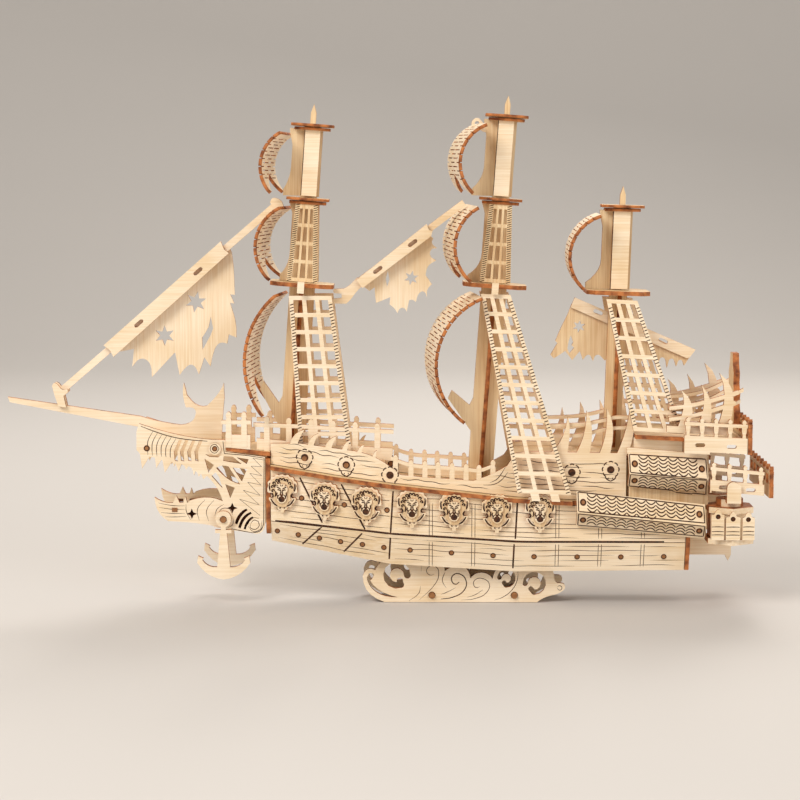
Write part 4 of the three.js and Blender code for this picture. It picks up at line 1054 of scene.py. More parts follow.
def plank_lines(node, shares, longest=9):
    """Broken lines along a strake, each at its share of the strake's height."""
    strokes = []
    for share in shares:
        i = rng.randrange(0, 3)
        while i < len(STATIONS) - 2:
            run = rng.randrange(3, longest)
            line = []
            for x in STATIONS[i : i + run]:
                if spans[node][x]:
                    low, high = spans[node][x]
                    along = x + rng.uniform(-2.5, 2.5)
                    line.append((along, low + (high - low) * share + rng.uniform(-0.25, 0.25), 1))
            if len(line) > 1:
                strokes.append(line)
            i += run + rng.choice((0, 0, 1))
    return strokes


for name, node, shares in (
    ("gun_strake_planks", GUN, (0.12, 0.24, 0.37, 0.49, 0.62, 0.75, 0.87)),
    ("bilge_strake_planks", BILGE, (0.18, 0.36, 0.55, 0.73, 0.88)),
):
    lines = engrave(f"{name}_port", plank_lines(node, shares), "y", 0.0, width=0.3, fade=0.15)
    twins(drape(lines, [node]))
    print(name, "points:", len(lines.data.vertices))

# %% [markdown]
# The bulwark's planks are drawn with firmer lines that dip and rise together with the waist.

# %% Bulwark planks
def foot_of_bulwark(x):
    """The lowest height of the bulwark near this station."""
    near = min(STATIONS, key=lambda s: abs(s - x))
    return spans[BULWARK][near][0] if spans[BULWARK][near] else 58.0


bulwark_strokes = []
for level in (2.2, 4.2, 6.2, 8.4, 10.6, 12.8, 15.0, 17.0):
    x = -54.0 + rng.uniform(0, 3)
    while x < 112:
        reach = rng.uniform(14, 34)
        line = []
        step = 0.0
        while step <= reach and x + step < 113:
            here = x + step
            z = foot_of_bulwark(here) + level + 0.25 * math.sin(here * 0.35 + level)
            if all(surface([BULWARK], at(here + d, 0, 0).x, z * MM) is not None for d in (-1.5, 0, 1.5)):
                line.append((here, z, 1))
            elif len(line) > 1:
                break
            step += 4.0
        if len(line) > 2:
            bulwark_strokes.append(line)
        x += reach + rng.uniform(1.0, 4.0)
planks = engrave("bulwark_planks_port", bulwark_strokes, "y", 0.0, width=0.36, fade=0.15)
twins(drape(planks, [BULWARK]))
print("bulwark lines:", len(bulwark_strokes))

# %% [markdown]
# The strakes are put together from shorter plates. A heavy burnt line marks each joint, slanted towards
# the bow as on a clinker hull, and pairs of thin scored lines mark where the frames sit behind them. A
# draped line only bends where it has a point, so `dense` gives a straight line a point every 1.5 mm.

# %% Joints between the strake plates
def dense(start, end, pitch=1.5):
    """A straight stroke with a point every `pitch` millimetres, so that it can be draped."""
    count = max(2, int(math.dist(start, end) / pitch))
    return [along_line(start, end, i / count) for i in range(count + 1)]


joints = [
    dense((-42.1, 61.4), (-31.5, 40.0)), dense((-22.4, 58.6), (-11.2, 37.2)),
    dense((2.1, 55.8), (0.9, 35.8)),
    dense((0.8, 33.4), (0.2, 22.6)), dense((60.8, 52.4), (59.8, 33.0)), dense((59.3, 30.4), (58.9, 18.2)),
    dense((-31.8, 38.0), (-41.2, 28.9)), dense((-12.6, 35.2), (-21.4, 25.6)),
]
thin_joints = []
for station in (19.9, 40.0, 79.6, 99.8, 120.0):
    for shift in (-0.75, 0.75):
        for low, high in ((19.0, 31.5), (33.0, 50.0)):
            thin_joints.append(dense((station + shift, low), (station + shift, high)))
twins(
    drape(engrave("strake_joints_port", joints, "y", 0.0, width=0.85, fade=0.8), [GUN, BILGE]),
    drape(engrave("strake_scores_port", thin_joints, "y", 0.0, width=0.3), [GUN, BILGE]),
)
seam = [[(x, spans[GUN][x][0] + 0.1, 1) for x in STATIONS if spans[GUN][x] and x < 138]]
twins(drape(engrave("strake_seam_port", seam, "y", 0.0, width=1.0, fade=0.9), [GUN, BILGE]))
print("strake joints:", len(joints), "and scores:", len(thin_joints))

# %% [markdown]
# Bolts hold the strakes to the frames: each is a small round pin in a charred hole. On the real kit they
# are plywood pegs 2.4 mm across that stand out by a fraction of a millimetre.

# %% Bolts
BOLTS = [
    (-41.3, 51.6), (-21.0, 48.8), (-0.8, 46.7), (-53.1, 35.2), (-43.1, 33.6), (-33.0, 32.2),
    (-22.9, 30.7), (-12.5, 29.6), (-2.3, 28.4), (10.1, 27.2), (29.7, 25.9), (49.4, 24.6), (68.8, 24.1),
    (89.2, 24.0), (109.9, 24.0), (130.2, 24.2),
]


def bolts(name, places, nodes, hole=1.3, peg=0.85, rest=-18.0):
    rings = [cut_plate("ring", [circle_line(a, b, hole)], "y", 0.0, BURNT_LINE, 0.3) for a, b in places]
    pegs = [cut_plate("peg", [circle_line(a, b, peg, 6)], "y", 0.0, PIN_WOOD, 0.8) for a, b in places]
    dark, pale = merge(f"{name}_holes_port", rings, BURNT_LINE), merge(f"{name}_pegs_port", pegs, PIN_WOOD)
    twins(drape(dark, nodes, rest), drape(pale, nodes, rest))


bolts("strake", BOLTS, [GUN, BILGE])
print("bolts:", len(BOLTS), "on each side")

# %% [markdown]
# The portholes are engraved on the bulwark. A charred hole 3.2 mm wide sits in a ring of scallops, which
# the laser draws as separate arcs, and two dots under it form a small tail.

# %% Portholes
PORTHOLES = [(-39.9, 70.6), (-20.1, 67.4), (0.6, 62.9), (86.4, 64.3), (104.7, 65.6)]
scallops = []
for a, b in PORTHOLES:
    for i in range(7):
        turn = math.radians(-40 + i * 43)
        arc = []
        for k in (-0.28, -0.1, 0.1, 0.28):
            reach = 3.7 + 0.25 * math.cos(k * 5.0)
            arc.append((a + reach * math.cos(turn + k), b + reach * math.sin(turn + k), 1))
        scallops.append(arc)
    for side in (-1, 1):
        scallops.append(
            [
                (a + side * 2.5, b - 3.1), (a + side * 2.0, b - 4.3, 1), (a + side * 0.9, b - 5.0),
                (a, b - 5.5),
            ]
        )
    scallops.append([(a - 1.0, b - 4.3), (a - 0.9, b - 3.8)])
    scallops.append([(a + 1.0, b - 4.3), (a + 0.9, b - 3.8)])
rims = engrave("porthole_scallops_port", scallops, "y", 0.0, width=0.62, fade=0.8)
twins(drape(rims, [BULWARK]))
bolts("porthole", PORTHOLES, [BULWARK], hole=1.75, peg=1.1)
print("portholes:", len(PORTHOLES), "on each side")

# %% [markdown]
# Fences run along the forecastle and the waist, and curved rails along the quarter deck. A fence is a
# single sheet, but it is easiest to draw as bars with posts across them; the posts are a hair thicker,
# so the two never fight for one surface.

# %% Bars, posts and fences
def bar_line(points, half):
    """A bar with square ends along a line of points."""
    upper = [(a, b + half, 1) for a, b in points]
    lower = [(a, b - half, 1) for a, b in reversed(points)]
    ends = (upper[0][:2], *upper[1:-1], upper[-1][:2], lower[0][:2], *lower[1:-1], lower[-1][:2])
    return list(ends)


def pin_post(a, low, high, half=1.35):
    """A flat post with a waist and a rounded head."""
    neck = high - 2.4 * half
    return [
        (a - half, low), (a + half, low), (a + half, neck - 0.8), (a + half * 0.72, neck),
        (a + half * 0.9, high - half, 1),
        (a, high, 1), (a - half * 0.9, high - half, 1), (a - half * 0.72, neck), (a - half, neck - 0.8),
    ]


def fence(name, level, bars, posts, panels=(), half=0.95, post_half=1.35, ply=1.8, finish=None):
    finish = finish or SIDE_PLY
    parts = [cut_plate("bar", [bar_line(points, half)], "y", level, finish, ply) for points in bars]
    parts += [
        cut_plate("post", [pin_post(*post, post_half)], "y", level, finish, ply + 0.2) for post in posts
    ]
    parts += [cut_plate("panel", [list(panel)], "y", level, finish, ply - 0.1) for panel in panels]
    return merge(name, parts, finish)


print("a post has", len(pin_post(0.0, 0.0, 10.0)), "points")

# %% [markdown]
# There are five runs on each side: two on the forecastle, one in the waist, and two pairs of curved rails
# between the spikes of the quarter deck and the tusks of the poop. The poop's and the quarter deck's
# spikes are packed plates already, so their runs are bars without posts.

# %% Fences and rails
bow_fence = fence(
    "bow_fence_port", -13.6, [[(-79.4, 87.4), (-65.2, 87.4)]], [(-75.8, 75.4, 92.4), (-68.5, 75.4, 92.4)],
    [[(-77.4, 75.4), (-65.6, 74.4), (-65.6, 81.4), (-77.4, 81.6)]],
)
fore_fence = fence(
    "forecastle_fence_port", -10.4,
    [[(-64.4, 85.8), (-42.0, 85.0), (-20.0, 83.6), (2.2, 82.4)]],
    [(x, 72.6, 89.9 - (x + 58) * 0.064) for x in (-58.0, -47.5, -37.0, -26.5, -16.0, -5.5)],
    [[(-62.8, 74.0), (-30.0, 71.6), (1.6, 68.6), (1.6, 74.6), (-30.0, 76.4), (-62.8, 79.4)]],
)
waist_tops = [
    (3.2, 72.5), (10.5, 70.1), (17.1, 69.7), (23.3, 69.2), (29.9, 68.7), (36.5, 68.3), (42.6, 67.8),
    (49.2, 70.2),
]
waist_fence = fence(
    "waist_fence_port", -17.9,
    [[(1.2, 71.0), (6.0, 68.9), (12.0, 67.4), (24.0, 66.5), (36.0, 65.7), (43.0, 65.2), (49.8, 67.6)]],
    [(a, 60.0, b) for a, b in waist_tops], half=0.85, post_half=1.2, ply=1.6,
)
quarter_rails = fence(
    "quarter_deck_rails_port", -15.4,
    [
        [(75.8, 86.1), (84.0, 86.4), (91.1, 86.8), (102.6, 89.0), (106.0, 90.0), (113.0, 90.2)],
        [(76.7, 81.3), (84.0, 81.3), (91.2, 81.7), (102.7, 84.5), (113.0, 85.4)],
    ],
    [], half=0.85,
)
poop_rails = fence(
    "poop_rails_port", -21.6,
    [
        [(131.0, 95.6), (144.8, 96.4), (155.5, 98.9), (166.0, 103.9)],
        [(131.0, 91.0), (142.0, 91.3), (154.8, 93.8), (164.6, 98.6)],
    ],
    [], half=0.85,
)
twins(bow_fence, fore_fence, waist_fence, quarter_rails, poop_rails)
scroll_strokes = [
    [(47.8, 59.4), (50.8, 60.8, 1), (53.0, 63.4, 1), (55.0, 66.8)],
    [(44.6, 58.2), (49.8, 58.6, 1), (53.2, 60.6, 1), (56.2, 64.4)],
    [(50.4, 64.0), (53.4, 66.8, 1), (55.8, 70.6)],
]
twins(drape(engrave("waist_scroll_port", trim(scroll_strokes, BULWARK), "y", 0.0, width=0.4), [BULWARK]))
print("fences and rails: 5 on each side")

# %% [markdown]
# Seven shields with a lion's face hang along the gun strake. Each is three layers: a scrolled shield with
# round bites in its sides, a mane with a wavy top, and the face itself, so that it stands 4 mm proud.
# Fine burnt lines give curls, brows, eyes, whiskers and an open mouth. The shield is modelled once.

# %% Drawing of the lion shield
SHIELDS = [
    (-50.1, 54.2), (-29.9, 50.9), (-10.2, 49.0), (11.0, 48.1), (30.8, 46.7), (51.0, 45.7), (71.2, 45.8),
]


def mirrored_outline(right):
    """An outline from its right half, drawn from the top down."""
    return right + [(-a, b, *soft) for a, b, *soft in reversed(right) if a > 0.01]


shield_right = [
    (0.0, 8.9), (1.6, 8.4, 1), (2.8, 8.7, 1), (3.8, 7.7, 1), (5.2, 7.5, 1), (5.8, 6.0, 1), (7.0, 5.0, 1),
    (6.8, 3.4, 1), (7.2, 1.8, 1), (7.0, 0.2, 1), (5.4, -0.2, 1), (4.5, -1.3, 1), (5.2, -2.4, 1),
    (6.4, -2.4, 1), (6.0, -4.0, 1), (4.8, -5.2, 1), (4.2, -6.4, 1), (2.6, -6.8, 1), (1.9, -8.0, 1),
    (1.0, -8.2), (0.8, -9.4), (0.0, -9.6),
]
mane_right = [
    (0.0, 8.0), (1.4, 7.5, 1), (2.6, 7.6, 1), (3.4, 6.5, 1), (4.6, 6.2, 1), (4.9, 4.8, 1), (5.9, 3.8, 1),
    (5.3, 2.6, 1), (5.6, 1.2, 1), (4.4, 0.0, 1), (3.9, -1.6, 1), (4.2, -3.2, 1), (3.0, -4.4, 1),
    (2.2, -6.0, 1), (0.0, -6.6),
]
face_right = [
    (0.0, 4.6), (1.6, 4.4, 1), (2.7, 3.2, 1), (2.9, 1.4, 1), (2.0, 0.2, 1), (2.4, -1.4, 1),
    (2.3, -3.0, 1), (1.2, -4.4, 1), (0.0, -4.8),
]
shield_strokes = []
for sign in (-1, 1):
    for a, b in ((0.8, 6.4), (2.4, 5.9), (3.8, 4.6), (4.5, 2.9), (1.5, 4.9), (3.2, 3.2), (4.3, 1.0)):
        curl = []
        for i in range(5):
            turn = math.radians(200 - 75 * i)
            reach = 0.72 - 0.08 * i
            curl.append((sign * (a + reach * math.cos(turn)), b + reach * math.sin(turn), 1))
        shield_strokes.append(curl)
    shield_strokes += [
        [(sign * 6.1, 4.6), (sign * 6.2, 2.2, 1), (sign * 5.8, 0.8)],
        [(sign * 5.6, -2.9), (sign * 4.7, -4.4, 1), (sign * 3.6, -5.6, 1), (sign * 2.2, -6.3)],
        [(sign * 3.4, -1.4), (sign * 3.6, -3.0, 1), (sign * 2.6, -4.6, 1), (sign * 1.4, -5.6)],
        [(sign * 5.2, -0.2), (sign * 4.3, -1.3, 1), (sign * 5.0, -2.4)],
        [(sign * 3.1, 0.8), (sign * 3.0, -0.6, 1), (sign * 3.4, -1.8)],
        [(sign * 1.1, -6.9), (sign * 0.9, -7.5)],
    ]
face_strokes = []
for sign in (-1, 1):
    face_strokes += [
        [(sign * 0.5, 2.2), (sign * 1.4, 2.6, 1), (sign * 2.4, 3.1)],
        [(sign * 0.7, 1.3), (sign * 1.3, 1.7, 1), (sign * 2.0, 1.6)],
        [(sign * 0.5, 1.9), (sign * 0.4, 0.2, 1), (sign * 0.9, -0.9)],
        [(sign * 1.1, -0.7), (sign * 1.8, -1.4, 1), (sign * 1.9, -2.6)],
        [(0.0, -1.5), (sign * 0.8, -1.9, 1), (sign * 1.3, -2.5)],
        [(sign * 0.2, 3.4), (sign * 0.7, 4.2)],
        [(sign * 2.0, 0.4), (sign * 2.3, -0.6, 1), (sign * 2.0, -1.4)],
        [(sign * 1.6, 3.4), (sign * 2.2, 4.0)],
    ]
mouth = [(-1.6, -2.2), (0.0, -1.8, 1), (1.6, -2.2), (1.3, -3.6, 1), (0.0, -4.2, 1), (-1.3, -3.6, 1)]
nose = [(-0.8, -0.7), (0.0, -0.4, 1), (0.8, -0.7), (0.3, -1.4, 1), (-0.3, -1.4, 1)]
print("strokes on a shield:", len(shield_strokes) + len(face_strokes))

# %% [markdown]
# The layers are cut one by one, each a little further out than the last, and then joined: the wood is
# one piece and the burnt lines are another.

# %% Layers of the shield


def shield_layers(a, b, level):
    """The layers of one shield, its middle at station a and height b, its back at `level`."""
    spot = SHIP @ Matrix.Translation((a, level, b))
    layers = [
        cut_plate("back", [mirrored_outline(shield_right)], "y", -1.0, ply=1.7, frame_of=spot),
        cut_plate("mane", [mirrored_outline(mane_right)], "y", -2.2, MAST_PLY, 0.8, spot),
        cut_plate("face", [mirrored_outline(face_right)], "y", -3.0, ply=0.8, frame_of=spot),
    ]
    burnt = [
        engrave("curls", shield_strokes, "y", -1.86, spot, width=0.8, fade=0.7),
        engrave(
            "mane_curls", shield_strokes[:7] + shield_strokes[10:17], "y", -2.62, spot, width=0.72,
            fade=0.7,
        ),
        engrave("features", face_strokes, "y", -3.42, spot, width=0.66, fade=0.6),
        cut_plate("mouth", [mouth], "y", -3.4, BURNT_LINE, 0.16, spot),
        cut_plate("nose", [nose], "y", -3.45, BURNT_LINE, 0.2, spot),
    ]
    return layers, burnt


wood_layers, burnt_layers = shield_layers(0.0, 0.0, 0.0)
shield_wood = merge("lion_shield", wood_layers, SIDE_PLY)
shield_burnt = merge("lion_lines", burnt_layers, BURNT_LINE)
from_station_zero = Matrix.Translation(-at(0, 0, 0))
print("one shield:", len(shield_wood.data.vertices) + len(shield_burnt.data.vertices), "points")

# %% [markdown]
# Each copy of the shield has its own mesh. It is carried to its station and pushed in until its back
# meets the strake. Forward of station -5 the strake turns in towards the bow, and the shields with it.

# %% Hanging the shields
BOW_TURN = math.radians(-9.0)
for number, (a, b) in enumerate(SHIELDS, start=1):
    spot = Matrix.Translation(at(a, 0, b) + Vector((0, surface([GUN], at(a, 0, 0).x, b * MM), 0)))
    close = Matrix.Rotation(BOW_TURN if a < -5 else 0.0, 4, "Z")
    for model, kind, finish in (
        (shield_wood, "lion_shield", SIDE_PLY), (shield_burnt, "lion_lines", BURNT_LINE),
    ):
        copy = model.copy()
        copy.data = model.data.copy()
        bpy.context.collection.objects.link(copy)
        copy.parent = None
        copy.data.transform(spot @ close @ from_station_zero)
        settle(copy, f"{kind}_{number}_port", finish)
        twin(copy)
for model in (shield_wood, shield_burnt):
    bpy.data.objects.remove(model)
print("lion shields:", len(SHIELDS), "on each side")

# %% [markdown]
# ## Roof tiles
# The side galleries have two roofs on each side, and each roof is two long boards that meet at a bend.
# The laser draws tiles on them: columns of nested U curves on the upper boards and of arches on the
# lower ones, and double rules between the columns. The strokes are drawn flat and draped on the boards.

# %% Tiled roofs
TILE_ROW = 1.55


def tiles(corners, columns, arched):
    """Nested curves that fill a board, from its corners: top and foot of the fore and of the aft end."""
    (x0, top0), (_, foot0), (x1, top1), (_, foot1) = corners
    strokes = []
    margin = 4.4
    width = (x1 - x0 - 2 * margin) / columns
    bow = 0.8 if arched else -0.8
    slope = ((top1 - top0) + (foot1 - foot0)) / 2 / (x1 - x0)
    for column in range(columns):
        left = x0 + margin + column * width
        share = (left + width / 2 - x0) / (x1 - x0)
        top, foot = top0 + (top1 - top0) * share, foot0 + (foot1 - foot0) * share
        rows = int((top - foot - 1.4) / TILE_ROW) + 1
        for row in range(rows):
            z = top - 1.0 - (0.5 if arched else 0.0) - row * TILE_ROW
            curve = []
            for part, rise in ((0.02, -0.8), (0.25, 0.45), (0.5, 0.95), (0.75, 0.45), (0.98, -0.8)):
                curve.append((left + part * width, z + bow * rise + (part - 0.5) * width * slope, 1))
            strokes.append(curve)
    return strokes


ROOFS = {
    "upper_roof_port": (
        (((112.8, 73.4), (112.8, 65.6), (149.4, 71.0), (149.4, 62.4)), 6, False),
        (((112.8, 64.6), (112.8, 58.4), (149.4, 61.8), (149.4, 54.6)), 6, True),
    ),
    "lower_roof_port": (
        (((88.6, 55.9), (88.6, 47.5), (148.3, 49.1), (148.3, 42.0)), 11, False),
        (((88.6, 46.3), (88.6, 40.2), (148.3, 40.5), (148.3, 34.9)), 11, True),
    ),
}
for node, boards in ROOFS.items():
    strokes, rules, places = [], [], []
    for corners, columns, arched in boards:
        strokes += tiles(corners, columns, arched)
        (x0, top0), (_, foot0), (x1, top1), (_, foot1) = corners
        span_x = x1 - x0
        for along in (x0 + 2.6, x1 - 2.6):
            share = (along - x0) / span_x
            places.append((along, (top0 + foot0) / 2 + (top1 + foot1 - top0 - foot0) / 2 * share))
        steps = [x0 + 0.6 + (span_x - 1.2) * i / 12 for i in range(13)]
        for low, high in ((top0, top1), (foot0, foot1)):
            rules.append([(x, low + (high - low) * (x - x0) / span_x, 1) for x in steps])
        for x, low, high in ((x0 + 0.35, foot0, top0), (x1 - 0.35, foot1, top1)):
            rules.append([(x, low), (x, (low + high) / 2), (x, high)])
    short = node.replace("_port", "")
    tile_lines = drape(engrave(f"{short}_tiles_port", strokes, "y", 0.0, width=0.58, fade=0.8), [node])
    rule_lines = drape(engrave(f"{short}_rules_port", rules, "y", 0.0, width=0.55, fade=0.9), [node])
    twins(tile_lines, rule_lines)
    bolts(short, places, [node], hole=1.5, peg=0.8)
    print(short, "tiles:", len(strokes))

# %% [markdown]
# Behind the roofs the cabin closes the side of the hull, so no light shows between the decks. Above the
# upper roof its wall rises to the poop deck, and a pale strip covers the top edge of the roof. The walls
# behind the roofs are cut from the deeper tan ply, whose tone is painted shade there.

# %% Cabin walls
walls = [
    # painted shade: this wall's deeper tan ply stands in for the dark shade between the roofs
    cut_plate(
        "cabin_wall_port",
        [[(113.4, 50.2), (151.0, 48.6), (151.0, 78.4), (138.4, 79.6), (115.3, 81.0), (113.4, 80.0)]],
        "y", -17.6, MAST_PLY, 1.4,
    ),
    cut_plate(
        "cabin_top_port", [[(115.3, 74.6), (138.2, 73.2), (138.2, 80.0), (115.3, 81.2)]], "y", -18.8,
        ply=1.0,
    ),
    cut_plate(
        "roof_strip_port", [[(112.0, 76.6), (149.8, 73.4), (149.8, 70.8), (112.0, 73.6)]], "y", -20.6,
        ply=1.0,
    ),
    # painted shade: the lower wall behind the lower roof is in the deeper tan ply too
    cut_plate(
        "lower_cabin_port", [[(100.0, 47.0), (150.0, 45.0), (150.0, 34.0), (100.0, 36.0)]], "y", -19.6,
        MAST_PLY, 1.0,
    ),
]
twins(*walls)
print("cabin walls:", len(walls), "on each side")

# %% [markdown]
# The stern turret is eight-sided. Three narrow wall plates stand on its outboard faces between the two
# floor plates. Each has a rounded ear with a round hole in it and a few engraved courses.

# %% Turret walls
PANELS = [
    (150.7, 156.7, 153.8, 46.6, 0.5), (157.4, 164.1, 160.7, 45.6, 0.0), (165.2, 170.9, 167.9, 45.3, 0.5),
]
TURRET = edge("turret_port", "-y")
panels, courses, dark = [], [], []
for left, right, middle, top, back in PANELS:
    outline = [
        (left, 34.4), (right, 34.4), (right, top - 0.4), (middle + 1.6, top), (middle + 1.3, top + 1.2),
        (middle, top + 2.2, 1), (middle - 1.3, top + 1.2), (middle - 1.6, top), (left, top - 0.4),
    ]
    level = TURRET + back
    panels.append(cut_plate("panel", [outline, circle_line(middle, top - 1.2, 1.15)], "y", level, ply=0.9))
    dark.append(cut_plate("hole", [circle_line(middle, top - 1.2, 1.35)], "y", level + 0.2, BURNT_LINE, 0.3))
    for height in (36.8, 38.4, 40.6):
        line = [(left + 0.2, height), (middle, height + 0.1, 1), (right - 0.2, height)]
        courses.append(engrave("course", [line], "y", level - 0.45, width=0.45, fade=0.7))
twins(
    merge("turret_walls_port", panels, SIDE_PLY), merge("turret_courses_port", courses, BURNT_LINE),
    merge("turret_holes_port", dark, BURNT_LINE),
)
print("turret panels:", len(PANELS))

# %% [markdown]
# The big shrouds get the same rope edges as the ladders. Their side ropes lean, so the two sides of the
# plate are measured anew at the height of every stroke, and the strokes are draped on it.

# %% Rope edges of the shrouds
def plate_sides(node, height):
    """The first and last station at which this height of a plate is met from the side."""
    fore, aft = edge(node, "-x"), edge(node, "+x")
    met = []
    x = fore
    while x < aft:
        if surface([node], at(x, 0, 0).x, height * MM) is not None:
            met.append(x)
        x += 0.5
    return (met[0], met[-1]) if met else None


SHROUD_PITCH = 1.5
for node in ("fore_shroud_port", "main_shroud_port", "mizzen_shroud_port"):
    strokes = []
    foot, head = edge(node, "-z") + 4.5, edge(node, "+z") - 1.5
    for i in range(int((head - foot) / SHROUD_PITCH)):
        height = foot + i * SHROUD_PITCH
        sides = plate_sides(node, height)
        for x in (sides[0] + 0.9, sides[1] - 0.8) if sides else ():
            strokes.append([(x - 0.9, height - 0.3), (x, height), (x + 0.9, height + 0.3)])
    rope = engrave(f"{node.replace('_port', '')}_rope_port", strokes, "y", 0.0, width=0.5, fade=0.9)
    twin(drape(rope, [node]))
    print(node, "rope strokes:", len(strokes))

# %% [markdown]
# ## The monster's head
# Both cheeks are flat plates, so their engraving lies flat on the outer face. The upper jaw is ribbed
# with kinked lines, the neck behind it is laced with a zigzag, the lower jaw has rings like a snout with
# straight whisker lines at the tip, and a curl of lines goes round the jaw pin.

# %% Lines of the head
CHEEK = edge("cheek_port", "-y")
ribs = []
for i in range(6):
    a = -114.2 + i * 2.15
    top = 83.2 - i * 0.72
    ribs.append([(a + 2.6, top), (a, top - 4.8, 1), (a - 0.3, top - 8.4), (a - 0.1, 71.6 - i * 0.25)])
lace_left = [(-64.5, 70.3), (-65.4, 66.4), (-66.0, 62.9), (-67.1, 58.7), (-69.2, 54.8), (-71.0, 50.5)]
lace_right = [
    (-58.9, 69.2), (-60.4, 66.1), (-60.4, 61.8), (-60.8, 57.3), (-61.2, 52.3), (-61.6, 47.7),
    (-61.3, 42.6),
]
lacing = []
for i, spot in enumerate(lace_left):
    lacing += [[spot, lace_right[i]], [spot, lace_right[i + 1]]]
snout = [
    [(-87.4, 50.2), (-91.1, 45.6, 1), (-90.3, 40.2)], [(-83.2, 50.0), (-86.8, 44.9, 1), (-85.8, 39.9)],
    [(-96.5, 48.0), (-96.4, 44.6, 1), (-94.4, 40.6)],
    [(-81.5, 43.0), (-79.4, 45.9, 1), (-75.8, 46.0), (-74.4, 43.0)],
    [(-82.8, 42.4), (-81.8, 45.6, 1), (-78.6, 48.0)], [(-76.9, 36.6), (-74.6, 38.0, 1), (-73.8, 41.0)],
    [(-67.2, 38.2), (-65.0, 41.4, 1), (-61.8, 41.2)],
    [(-67.0, 37.4), (-64.4, 34.8, 1), (-61.0, 36.0), (-60.4, 40.4)],
    [
        (-66.0, 38.4), (-64.2, 40.4, 1), (-62.2, 39.8), (-61.8, 37.6, 1), (-63.6, 35.8), (-65.8, 36.6, 1),
        (-66.0, 38.4),
    ],
]
whiskers = [
    [(-109.6, 48.6), (-103.0, 47.4, 1), (-97.0, 47.2)], [(-109.2, 46.4), (-103.0, 45.6, 1), (-97.0, 45.6)],
    [(-108.4, 44.0), (-103.0, 43.6, 1), (-97.0, 43.6)], [(-106.6, 42.0), (-102.0, 41.9, 1), (-96.4, 42.2)],
]
brow = [
    [(-117.4, 85.4), (-110.0, 82.6, 1), (-102.0, 80.2, 1), (-94.6, 79.0, 1), (-86.0, 78.3)],
    [(-78.6, 78.2), (-78.2, 74.0), (-78.0, 72.4), (-68.0, 71.6), (-59.0, 70.2)],
    [(-59.2, 70.0), (-59.4, 54.0), (-59.6, 38.6), (-61.4, 35.2, 1), (-65.0, 34.3)],
    [(-65.0, 34.3), (-70.0, 35.2), (-75.0, 36.2)],
]
engrave("head_ribs_port", ribs, "y", CHEEK, width=0.36)
engrave("head_lacing_port", lacing, "y", CHEEK, width=0.32, fade=0.6)
engrave("head_snout_port", snout + whiskers, "y", CHEEK, width=0.34)
engrave("head_brow_port", brow, "y", CHEEK, width=0.42, fade=0.7)
for name in ("head_ribs", "head_lacing", "head_snout", "head_brow"):
    twin(bpy.data.objects[f"{name}_port"])
print("cheeks at", round(CHEEK, 2), "mm")

# %% [markdown]
# The stars and the slashes behind the jaw are cut right through, and they look black because a plate in the
# dark burnt-line finish closes the jaw between its two cheeks: painted shade for the inside of the jaw. The
# eye is a washer with a peg in it, on a boss.

# %% Painted jaw shade and eye
shade_backing = [
    (-76.4, 49.0), (-72.0, 49.4), (-66.0, 47.6), (-62.6, 43.4), (-62.0, 38.0, 1), (-66.0, 35.4, 1),
    (-73.6, 36.6), (-76.6, 43.4),
]
tip = [(-97.6, 46.4), (-91.0, 46.8), (-90.4, 41.0), (-97.0, 40.8)]
# painted shade: dark plates in the burnt-line finish close the jaw behind the cut-outs and the snout tip
shade_backings = [cut_plate("shade_backing", [line], "y", CHEEK + 2.7, BURNT_LINE, 1.0) for line in (shade_backing, tip)]
twin(merge("jaw_core_port", shade_backings, BURNT_LINE))
eye = cut_plate(
    "eye_boss_port", [circle_line(-82.5, 74.8, 2.9), circle_line(-82.5, 74.8, 1.3)], "y", CHEEK - 0.4,
    ply=0.8,
)
eye_ring = engrave(
    "eye_ring_port",
    [[(-82.5 + 2.1 * math.cos(t), 74.8 + 2.1 * math.sin(t), 1) for t in (0, 1.57, 3.14, 4.71, 6.2)]],
    "y", CHEEK - 0.8, fade=1.0,
)
twins(eye, eye_ring)
for name, a, b, hole, peg in (("eye", -82.5, 74.8, 1.5, 0.9), ("nostril", -114.8, 74.9, 1.45, 0.85)):
    bolts(name, [(a, b)], ["cheek_port"], hole=hole, peg=peg, rest=CHEEK)
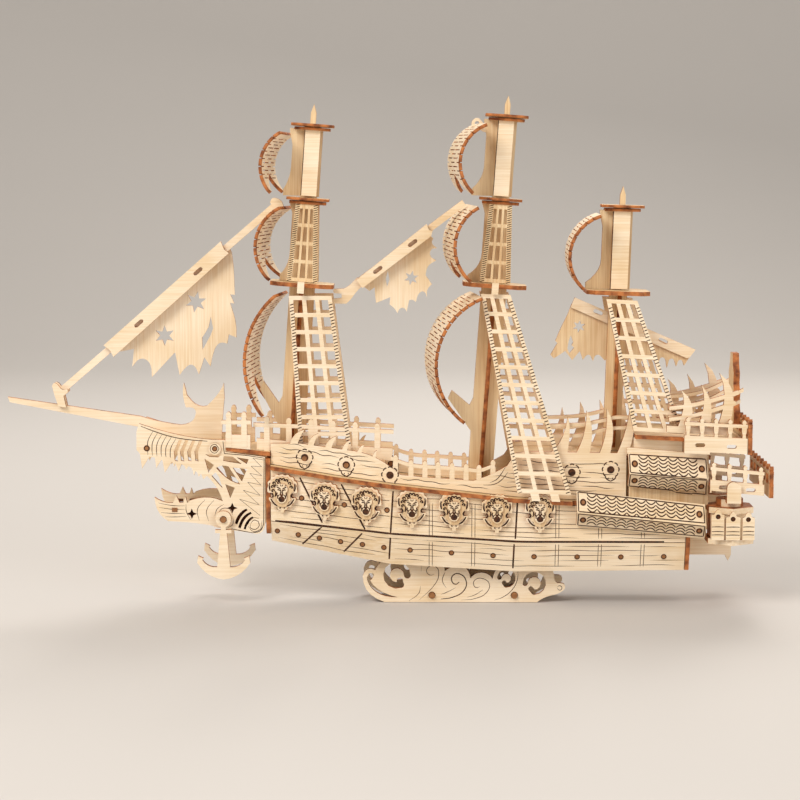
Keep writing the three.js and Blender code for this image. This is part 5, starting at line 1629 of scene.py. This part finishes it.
tooth = cut_plate("snout_bolt_port", [box_line(-103.2, 44.5, -100.6, 46.3)], "y", CHEEK - 0.1, PIN_WOOD, 0.5)
twin(tooth)
print("head engraving:", len(ribs) + len(lacing) + len(snout) + len(whiskers) + len(brow), "strokes a side")

# %% [markdown]
# ## The stand
# The two wave plates are engraved with the sea: spirals like breaking waves, each with a long tail that
# runs down to the table. The strokes are scorched more lightly than on the hull, so they are thin.

# %% Waves on the stand
STAND = edge("stand_wave_port", "-y")
waves = [
    [
        (21.7, 13.5), (19.3, 13.3, 1), (18.0, 15.3, 1), (19.6, 17.5, 1), (22.8, 17.0, 1), (23.8, 13.1, 1),
        (22.1, 8.8, 1), (14.4, 0.9),
    ],
    [(27.4, 7.0), (25.6, 10.3, 1), (26.3, 13.4, 1), (27.0, 14.6)],
    [(31.9, 7.0), (27.0, 4.5, 1), (24.9, 3.8)],
    [
        (43.5, 7.6), (41.8, 7.1, 1), (40.5, 8.9, 1), (41.4, 11.0, 1), (44.6, 11.6, 1), (48.1, 8.9, 1),
        (46.7, 4.6, 1), (41.1, 1.7, 1), (34.8, 1.0),
    ],
    [(45.0, 6.0), (41.1, 3.5, 1), (37.6, 2.4)],
    [(61.8, 15.6), (61.5, 11.0, 1), (59.0, 6.0, 1), (54.5, 2.4, 1), (50.6, 1.0)],
    [(15.1, 7.7), (14.4, 4.5, 1), (9.4, 0.4)], [(15.5, 18.8), (15.4, 14.9)],
    [(80.5, 7.1), (81.9, 5.9, 1), (82.9, 7.1, 1), (81.8, 8.1, 1), (80.8, 7.6)],
]
bold_wave = [
    [
        (33.7, 9.9), (31.9, 8.7, 1), (30.0, 10.6, 1), (30.9, 13.3, 1), (34.0, 13.7, 1), (36.9, 10.6, 1),
        (36.2, 6.0, 1), (30.6, 2.4, 1), (24.9, 1.5),
    ],
]
twins(
    engrave("stand_waves_port", waves, "y", STAND, width=0.32, fade=0.3),
    engrave("stand_big_wave_port", bold_wave, "y", STAND, width=0.5, fade=0.6),
)
print("waves:", len(waves) + len(bold_wave), "a side")
